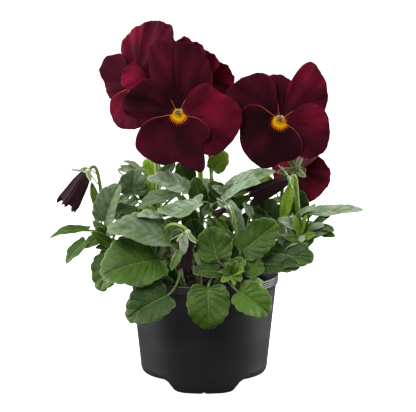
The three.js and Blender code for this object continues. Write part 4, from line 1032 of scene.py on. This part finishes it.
# Young leaves, too small for the CAD model: a stem, and the place on it, base, tip, width and look
# of each. One stem can have several groups.
YOUNG_LEAVES = [
    ("front", [
        (0.85, (19, -50, 88), (14, -55, 96), 4.2, LIGHT), (0.85, (20, -50, 88), (23, -54, 97), 5.6, MID),
        (0.85, (21, -50, 88), (28, -55, 91), 6.3, HALF_BACKLIT), (0.8, (21, -50, 86), (26, -56, 83), 5.6, LIGHT),
        (0.75, (19, -50, 86), (21, -57, 80), 4.2, HALF_BACKLIT), (0.75, (18, -50, 86), (12, -56, 82), 5.6, HALF_BACKLIT),
        (0.8, (18, -50, 88), (10, -54, 89), 4.2, MID), (0.45, (8, -44, 87), (1, -48, 95), 11.2, DARK),
    ]),
    ("front_right", [
        (0.3, (20, -4, 87), (13, -8, 100), 16.8, DARK), (1, (15, -34, 123), (1, -36, 127), 4.2, HALF_BACKLIT),
        (1, (15, -38, 116), (8, -40, 125), 5.6, LIGHT), (0.9, (17, -36, 112), (10, -38, 117), 5.6, SHEENED),
        (1, (19, -32, 127), (9, -35, 136), 6.3, SHEENED), (1, (34, -12, 127), (38, -15, 137), 6.3, HALF_SHEENED),
        (1, (33, -22, 123), (27, -26, 133), 6.3, SHEENED), (0.3, (40, -38, 77), (32, -44, 81), 6.3, HALF_BACKLIT),
    ]),
    ("front_left", [
        (0.65, (-16, -14, 106), (-26, -18, 116), 8.4, DARK), (0.3, (-20, -8, 73), (-31, -12, 84), 14, DARK),
    ]),
    ("left", [
        (0.85, (-61, 8, 127), (-51, 6, 134), 5.6, HALF_SHEENED), (0.6, (-49, 10, 117), (-63, 8, 125), 11.9, DARK),
        (0.75, (-66, -20, 102), (-79, -24, 112), 7.7, MID),
        (0.75, (-65, -18, 100), (-76, -22, 100), 5.6, MID),
        (0.85, (-70, -16, 106), (-75, -19, 115), 6.3, DARK),
    ]),
    ("front_left", [
        (0.95, (-14, -53, 114), (-15, -56, 101), 6.5, SHEENED),
        (0.95, (-17, -52, 103), (-23, -54, 90), 6, PALE), (0.95, (-6, -50, 101), (-2, -50, 91), 3, PALE),
        (0.6, (-36, -26, 104), (-53, -30, 110), 9, MID), (0.6, (-38, -24, 107), (-45, -30, 103), 8, DARK),
    ]),
    ("left", [(0.8, (-58, -16, 116), (-68, -24, 109), 8, HALF_SHEENED)]),
    ("back_left", [
        (0.9, (-41, 6, 132), (-37, 4, 142), 8, BACKLIT), (0.9, (-51, 8, 132), (-47, 6, 139), 8, BACKLIT),
    ]),
    ("centre", [(0.9, (-15, -2, 136), (-13, -4, 145), 8, BACKLIT)]),
    ("left", [(0.9, (-76, -6, 129), (-79, -5, 144), 5.5, HALF_BACKLIT)]),
    ("back_left", [(0.9, (-32, 6, 145), (-20, 6, 156), 8, HALF_SHEENED)]),
    ("left", [
        (0.95, (-70, -12, 108), (-78, -14, 118), 7, HALF_SHEENED), (0.95, (-67, -14, 110), (-75, -16, 112), 6, MID),
        (1, (-81, -7, 153), (-87, -7, 153), 3, PALE),
    ]),
    ("front_left", [(0.8, (-31, -20, 114), (-14, -22, 122), 7, MID)]),
    ("centre", [
        (0.7, (24, -4, 111), (32, -6, 123), 9, DARK), (0.7, (14, -6, 106), (19, -8, 120), 9, DARK),
    ]),
    ("left", [(0.8, (-56, 2, 123), (-46, 0, 131), 8, HALF_SHEENED)]),
    ("back_left", [(0.95, (-58, 4, 152), (-41, 2, 150), 6, SHEENED)]),
    ("centre", [
        (0.85, (-12, 4, 126), (-20, 0, 134), 5.6, BACKLIT), (0.3, (-6, -2, 86), (-20, -6, 97), 18.2, DARK),
        (0.5, (-8, 0, 107), (-12, -4, 127), 14, DARK), (0.3, (1, -8, 87), (-4, -12, 101), 12.6, DARK),
        (0.85, (0, -20, 124), (6, -24, 132), 5.6, SHEENED), (0.65, (8, -28, 114), (3, -32, 123), 7.7, HALF_SHEENED),
        (1, (14, -18, 138), (5, -22, 144), 5.6, SHEENED), (1, (15, -18, 138), (22, -21, 145), 6.3, HALF_SHEENED),
        (1, (10, -14, 133), (3, -17, 139), 7, DARK), (1, (-3, -12, 134), (-10, -15, 141), 8.4, DARK),
        (0.85, (7, -8, 124), (0, -10, 132), 9.8, MID),
    ]),
    ("right", [
        (0.35, (41, -4, 102), (29, -6, 114), 18.2, DARK), (0.5, (41, -8, 116), (34, -10, 126), 11.2, DARK),
        (0.8, (50, 6, 136), (45, 4, 147), 6.3, MID), (0.8, (66, -24, 115), (51, -28, 122), 7.7, SHEENED),
        (0.75, (65, -24, 110), (56, -26, 119), 4.9, HALF_BACKLIT), (0.8, (66, -26, 111), (61, -28, 126), 4.9, HALF_BACKLIT),
        (0.8, (66, -24, 111), (66, -26, 128), 4.9, MID), (0.8, (67, -24, 110), (72, -27, 125), 4.9, HALF_BACKLIT),
        (0.75, (67, -22, 109), (77, -25, 119), 4.9, MID), (0.75, (68, -24, 107), (78, -27, 111), 5.6, HALF_BACKLIT),
        (0.75, (66, -26, 106), (56, -30, 109), 5.6, MID), (0.65, (67, -20, 99), (77, -24, 107), 7.7, LIGHT),
        (0.7, (69, -18, 99), (56, -22, 96), 11.2, HALF_SHEENED), (0.65, (67, -22, 97), (51, -27, 109), 12.6, SHEENED),
        (0.8, (69, -18, 107), (89, -22, 113), 7.7, HALF_SHEENED), (1, (79, -8, 116), (90, -12, 123), 5, MID),
        (0.95, (76, -14, 114), (85, -17, 120), 4.9, MID), (0.95, (81, -16, 110), (92, -20, 108), 5.6, LIGHT),
        (0.95, (73, -6, 120), (78, -8, 129), 4.9, HALF_SHEENED),
    ]),
    ("front_right", [(0.7, (42, -36, 91), (67, -44, 91), 15, DARK)]),
    ("right", [(0.3, (41, -16, 97), (50, -20, 90), 11.2, DARK)]),
    ("back_left", [
        (0.85, (-36, -4, 124), (-46, -8, 127), 5.6, BACKLIT), (0.95, (-38, 12, 130), (-48, 10, 137), 9.8, DARK),
        (0.85, (-27, 6, 129), (-32, 3, 137), 7, DARK), (0.3, (-17, 4, 96), (-36, 0, 112), 23.8, DARK),
        (0.3, (-25, 8, 84), (-38, 6, 96), 18.2, MID),
    ]),
    ("back_right", [
        (1, (22, -8, 135), (34, -12, 140), 5.6, LIGHT), (1, (38, 2, 137), (39, 0, 144), 3.5, BACKLIT),
        (1, (34, 4, 137), (46, 2, 146), 7, BACKLIT), (0.9, (20, -16, 129), (31, -20, 137), 5.6, LIGHT),
        (0.8, (25, -10, 125), (18, -12, 134), 9.1, DARK),
    ]),
]


# ---- The pot and the soil ----
POT_SIDES = 192
CORNER_TOP = POT_FLOOR + CORNER_HEIGHT
BAND_BOTTOM = POT_HEIGHT - RIM_BAND
INNER_FLOOR = POT_FLOOR + FLOOR_THICKNESS
INNER_FOOT_RADIUS = POT_WALL_FOOT_RADIUS - POT_WALL
BAND_RIDGES = {"count": 3, "depth": 0.18}
BAND_LEAN = 0.35
# The rim's edge, as steps outwards and up from the corner where its outside would meet its top.
RIM_EDGE = [(-0.1, -0.5), (-0.45, -0.08), (-0.8, 0), (-1.7, 0), (-2.05, -0.2)]
FLAT_RADIUS = 30  # of the floor's plain middle


def rim_band():
    """The outside of the rim band, with fine ridges round it."""
    low, high = BAND_BOTTOM + 1.0, POT_HEIGHT - 1.1
    z = np.linspace(low, high, 40)
    turn = 2 * np.pi * BAND_RIDGES["count"] * (z - low) / (high - low)
    ridges = BAND_RIDGES["depth"] * (1 - np.cos(turn)) / 2
    r = POT_RIM_RADIUS - BAND_LEAN * (high - z) / (high - low) - ridges
    return list(zip(r, z))


def corner_arc(radius, low, high, inset, steps=10):
    """The rounded lower corner of the wall, from its bottom to its top."""
    turn = np.linspace(0, np.pi / 2, steps)
    return list(zip(radius - inset * (1 - np.sin(turn)), low + (high - low) * (1 - np.cos(turn))))


def add_pot_body(piece):
    foot = POT_WALL_FOOT_RADIUS
    profile = [(0, POT_FLOOR), (FLAT_RADIUS, POT_FLOOR), (POT_BASE_RADIUS - 1.2, POT_FLOOR)]
    profile += corner_arc(foot, POT_FLOOR, CORNER_TOP, foot - POT_BASE_RADIUS)
    profile += [(foot + (POT_WALL_TOP_RADIUS - foot) * t, CORNER_TOP + (BAND_BOTTOM - CORNER_TOP) * t)
                for t in (0.05, 0.35, 0.65, 0.95, 0.995)]
    profile += [(POT_WALL_TOP_RADIUS + 0.1, BAND_BOTTOM - 0.05), (POT_RIM_RADIUS - 0.9, BAND_BOTTOM),
                (POT_RIM_RADIUS - 0.45, BAND_BOTTOM + 0.35)]
    profile += rim_band()
    profile += [(POT_RIM_RADIUS + r, POT_HEIGHT + z) for r, z in RIM_EDGE]
    profile += [(POT_WALL_TOP_RADIUS - POT_WALL, BAND_BOTTOM)]
    inside = corner_arc(INNER_FOOT_RADIUS, INNER_FLOOR, CORNER_TOP, CORNER_INSET)
    profile += inside[::-1] + [(FLAT_RADIUS, INNER_FLOOR), (0, INNER_FLOOR)]
    add_turned(piece, profile, np.zeros(3), UP, POT, sides=POT_SIDES)


def add_feet(piece):
    """The feet carry the wall down to the ground, between two gaps with curved ends."""
    end, low = np.array(FOOT_END).T
    radius, height = np.array(FEET["outside"]).T
    for middle, flat in ((-90, FOOT_FLATS["front"]), (90, FOOT_FLATS["back"])):
        gone = flat + end[-1]
        turn = np.linspace(-gone, gone, FOOT_STEPS)
        bottom = np.interp(np.abs(turn) - flat, end, low)
        if middle < 0:
            bottom = bottom + FOOT_NOTCH["depth"] * np.exp(-((turn / FOOT_NOTCH["width"]) ** 2))
        angle = np.radians(middle + turn)
        spoke = np.stack([np.cos(angle), np.sin(angle), 0 * angle], 1)
        top = np.maximum(POT_FLOOR + SUNK, bottom + 0.2)
        line = [(inner_line(top), top), (inner_line(bottom), bottom),
                (np.interp(bottom, height, radius) - 0.4, bottom)]
        for share in (0.03, 0.2, 0.4, 0.6, 0.8, 0.98):
            z = bottom + (FOOT_TOP - bottom) * share
            line.append((np.interp(z, height, radius), z))
        line.append((POT_WALL_FOOT_RADIUS - SUNK + 0 * turn, FOOT_TOP + 0 * turn))
        rings = np.stack([r[:, None] * spoke + z[:, None] * UP for r, z in line], 1)
        add_rings(piece, rings, POT, clockwise=True)


def inner_line(height):
    """The radius of a foot's inside, which lies in the body's wall above the pot's floor."""
    return np.interp(height, [7.5, 9.5, CORNER_TOP], [FEET["inside"], 41.5, POT_WALL_FOOT_RADIUS - SUNK])


def drill(points, faces):
    """The pot with its drain holes cut: points in millimetres and faces, before and after."""
    mesh = bpy.data.meshes.new("pot_blank")
    mesh.from_pydata(np.asarray(points).tolist(), [], faces)
    blank = put("pot_blank", mesh)
    cutters = []
    for k in range(DRAINS["count"]):
        turn = 2 * math.pi * k / DRAINS["count"] + math.pi / 2
        at = (DRAINS["ring_radius"] * math.cos(turn), DRAINS["ring_radius"] * math.sin(turn), POT_FLOOR)
        bpy.ops.mesh.primitive_cylinder_add(vertices=40, radius=DRAINS["radius"], depth=8, location=at)
        cutters.append(bpy.context.object)
        modifier = blank.modifiers.new("drain", "BOOLEAN")
        modifier.object = cutters[-1]
        modifier.solver = "EXACT"
    made = blank.evaluated_get(bpy.context.evaluated_depsgraph_get()).to_mesh()
    drilled = [list(v.co) for v in made.vertices], [list(p.vertices) for p in made.polygons]
    for thing in (blank, *cutters):
        bpy.data.objects.remove(thing)
    return drilled


def make_pot():
    blank = Piece("pot_blank", POT)
    add_pot_body(blank)
    piece = Piece("flower_pot", POT)
    piece.add(*drill(np.concatenate(blank.points), blank.faces), POT)
    add_feet(piece)
    piece.build("pot_plastic", "pot")


def soil_relief(x, y):
    return SOIL_RELIEF * (np.sin(0.21 * x + 1) * np.cos(0.17 * y) + 0.5 * np.sin(0.33 * y - 0.2 * x))


def clod_shape():
    """The corners and the faces of a round lump of radius 1."""
    steps = (-1, 0, 1)
    corners = unit([(x, y, z) for x in steps for y in steps for z in steps if x or y or z])
    hull = bmesh.new()
    bmesh.ops.convex_hull(hull, input=[hull.verts.new(corner) for corner in corners])
    hull.verts.index_update()
    faces = [[v.index for v in face.verts] for face in hull.faces]
    hull.free()
    return corners, faces


def make_soil():
    climb = (SOIL_TOP - CORNER_TOP) / (BAND_BOTTOM - CORNER_TOP)
    wall = POT_WALL_FOOT_RADIUS + (POT_WALL_TOP_RADIUS - POT_WALL_FOOT_RADIUS) * climb
    edge = wall - POT_WALL - CLEARANCE
    piece = Piece("soil_surface", SOIL)
    r = np.concatenate([[INNER_FOOT_RADIUS - CORNER_INSET - CLEARANCE, INNER_FOOT_RADIUS - CLEARANCE],
                        edge - (edge - 0.4) * np.linspace(0, 1, SOIL_RINGS)])
    z = np.concatenate([[INNER_FLOOR + CLEARANCE, CORNER_TOP + CLEARANCE], np.full(SOIL_RINGS, SOIL_TOP)])
    turn = turns(SOIL_SIDES)
    x, y = r[:, None] * np.cos(turn), r[:, None] * np.sin(turn)
    rough = [[noise.fractal((a * 0.28, b * 0.28, 3.0), 0.7, 2.0, 4) for a, b in zip(*ring)]
             for ring in zip(x, y)]
    inside = smoothstep(edge - r[:, None], 0.2, 5) * (z[:, None] == SOIL_TOP)
    z = z[:, None] + inside * (soil_relief(x, y) + SOIL_ROUGHNESS * np.array(rough))
    add_rings(piece, np.stack([x, y, z], -1), SOIL)
    draw = np.random.default_rng(SOIL_SEED)
    corners, clod = clod_shape()
    for _ in range(CLODS["count"]):
        r, turn = (edge - 2.2) * math.sqrt(draw.uniform()), draw.uniform(0, 2 * np.pi)
        x, y = r * math.cos(turn), r * math.sin(turn)
        size = CLODS["least"] + CLODS["more"] * draw.uniform() ** 3
        shape = corners * size * draw.uniform(0.6, 1.2, 3) * draw.uniform(0.75, 1.1, (len(corners), 1))
        seat = np.array([x, y, SOIL_TOP + soil_relief(x, y) + 0.3 * size])
        piece.add(seat + shape, clod, SOIL)
    piece.build("soil_peat", "soil")


# ---- The whole ----
YOUNG_TURN = 0.35  # how far the young leaves turn to the sides
# The pieces of a bloom and of a bud: name, materials, maker, slot and the CAD node they replace.
BLOOM_PIECES = (
    ("_flower", (PETAL, THROAT_GREEN, BEARD, STALK), add_bloom, "petal_red", "_petals"),
    ("_style", (PISTIL,), add_pistil, "pistil_green", "_pistil"),
)
BUD_PIECES = (("_bell", (BUD,), add_bell, "bud_purple", "_petals"),)


def make_plant():
    young_leaves = [("leafy_stem_" + name, young) for name, group in YOUNG_LEAVES for young in group]
    for stem in STEMS:
        green = Piece(stem["name"] + "_leaves", LEAF, STALK, SEPAL_GREEN)
        root = np.array(stem["path"][0], float)
        depth = np.linspace(-ROOT_DEPTH, -1, 4)[:, None] * UP
        path = np.concatenate([root + depth, bezier(stem["path"], np.linspace(0, 1, 26))])
        add_tube(green, path, np.linspace(1.1, 0.85, len(path)) * STEM_RADIUS, STALK, sides=14)
        for grown in stem["leaves"]:
            add_leaf(green, stem, grown)
        for count, (name, young) in enumerate(young_leaves):
            if name == stem["name"]:
                face = (YOUNG_TURN * math.sin(5 * count), -0.85, 0.45)
                add_leaf(green, stem, leaf(*young[:4], face, young[4]))
        for flower in stem["flowers"]:
            add_stalk_and_calyx(green, stem, flower)
            for name, materials, add, slot, node in BLOOM_PIECES if "petals" in flower else BUD_PIECES:
                piece = Piece(flower["name"] + name, *materials)
                add(piece, flower)
                piece.build(slot, flower["name"] + node)
        green.build("leaf_green", stem["name"])


make_pot()
make_soil()
make_plant()


# ---- The stage, the lights and the camera ----
FLOOR_SIZE = 16
FLOOR_GAP = 0.0003  # below the feet
FLOOR_GLOW = 0.85
LIT_POINT = (0, 0, 0.13)
WORLD_LIGHT = 0.14
CAMERA = {"at": (2.8, -2932.9, 643.1), "look_at": (2.8, 21.5, 122.1), "lens": 366.7, "sensor": 36}


def make_floor():
    s = Shader("studio_floor", roughness=0.9, specular_ior_level=0.1, emission_color=(1, 1, 1, 1),
               emission_strength=FLOOR_GLOW)
    material = s.finish(s.blend(s.noise(40, 3), (240, 240, 240), (244, 244, 244)))
    bpy.ops.mesh.primitive_plane_add(size=FLOOR_SIZE, location=(0, 0, -FLOOR_GAP))
    floor = bpy.context.object
    floor.name = "studio_floor"
    floor.data.materials.append(material)
    floor.visible_diffuse = floor.visible_glossy = False


def aim(thing, at, look_at):
    thing.location = at
    thing.rotation_euler = (look_at - at).to_track_quat("-Z", "Y").to_euler()


def softbox(name, at, size, power):
    data = bpy.data.lights.new(name, "AREA")
    data.shape = "RECTANGLE"
    data.size, data.size_y = size
    data.energy = power
    light = put(name, data)
    aim(light, Vector(at), Vector(LIT_POINT))
    light.visible_camera = False


def make_lights():
    softbox("key_softbox", (-0.7, -1.1, 1.3), (0.9, 0.9), 20)
    softbox("fill_softbox", (1.2, -0.9, 0.6), (0.8, 1.0), 5)
    softbox("top_softbox", (0.1, 0.3, 1.6), (1.4, 1.4), 16)
    softbox("left_strip", (-1.05, 0.2, 0.35), (1.1, 0.9), 18)
    softbox("right_strip", (1.05, 0.4, 0.35), (1.0, 0.9), 21)
    world = bpy.data.worlds.new("soft_studio")
    world.use_nodes = True
    background = world.node_tree.nodes["Background"]
    background.inputs["Color"].default_value = (1, 1, 1, 1)
    background.inputs["Strength"].default_value = WORLD_LIGHT
    bpy.context.scene.world = world


def make_camera():
    data = bpy.data.cameras.new("photo_camera")
    data.lens, data.sensor_width = CAMERA["lens"], CAMERA["sensor"]
    data.clip_start, data.clip_end = 0.1, 60
    camera = put("photo_camera", data)
    aim(camera, Vector(CAMERA["at"]) * MM, Vector(CAMERA["look_at"]) * MM)
    bpy.context.scene.camera = camera


make_floor()
make_lights()
make_camera()
bpy.context.scene.view_settings.view_transform = "Standard"
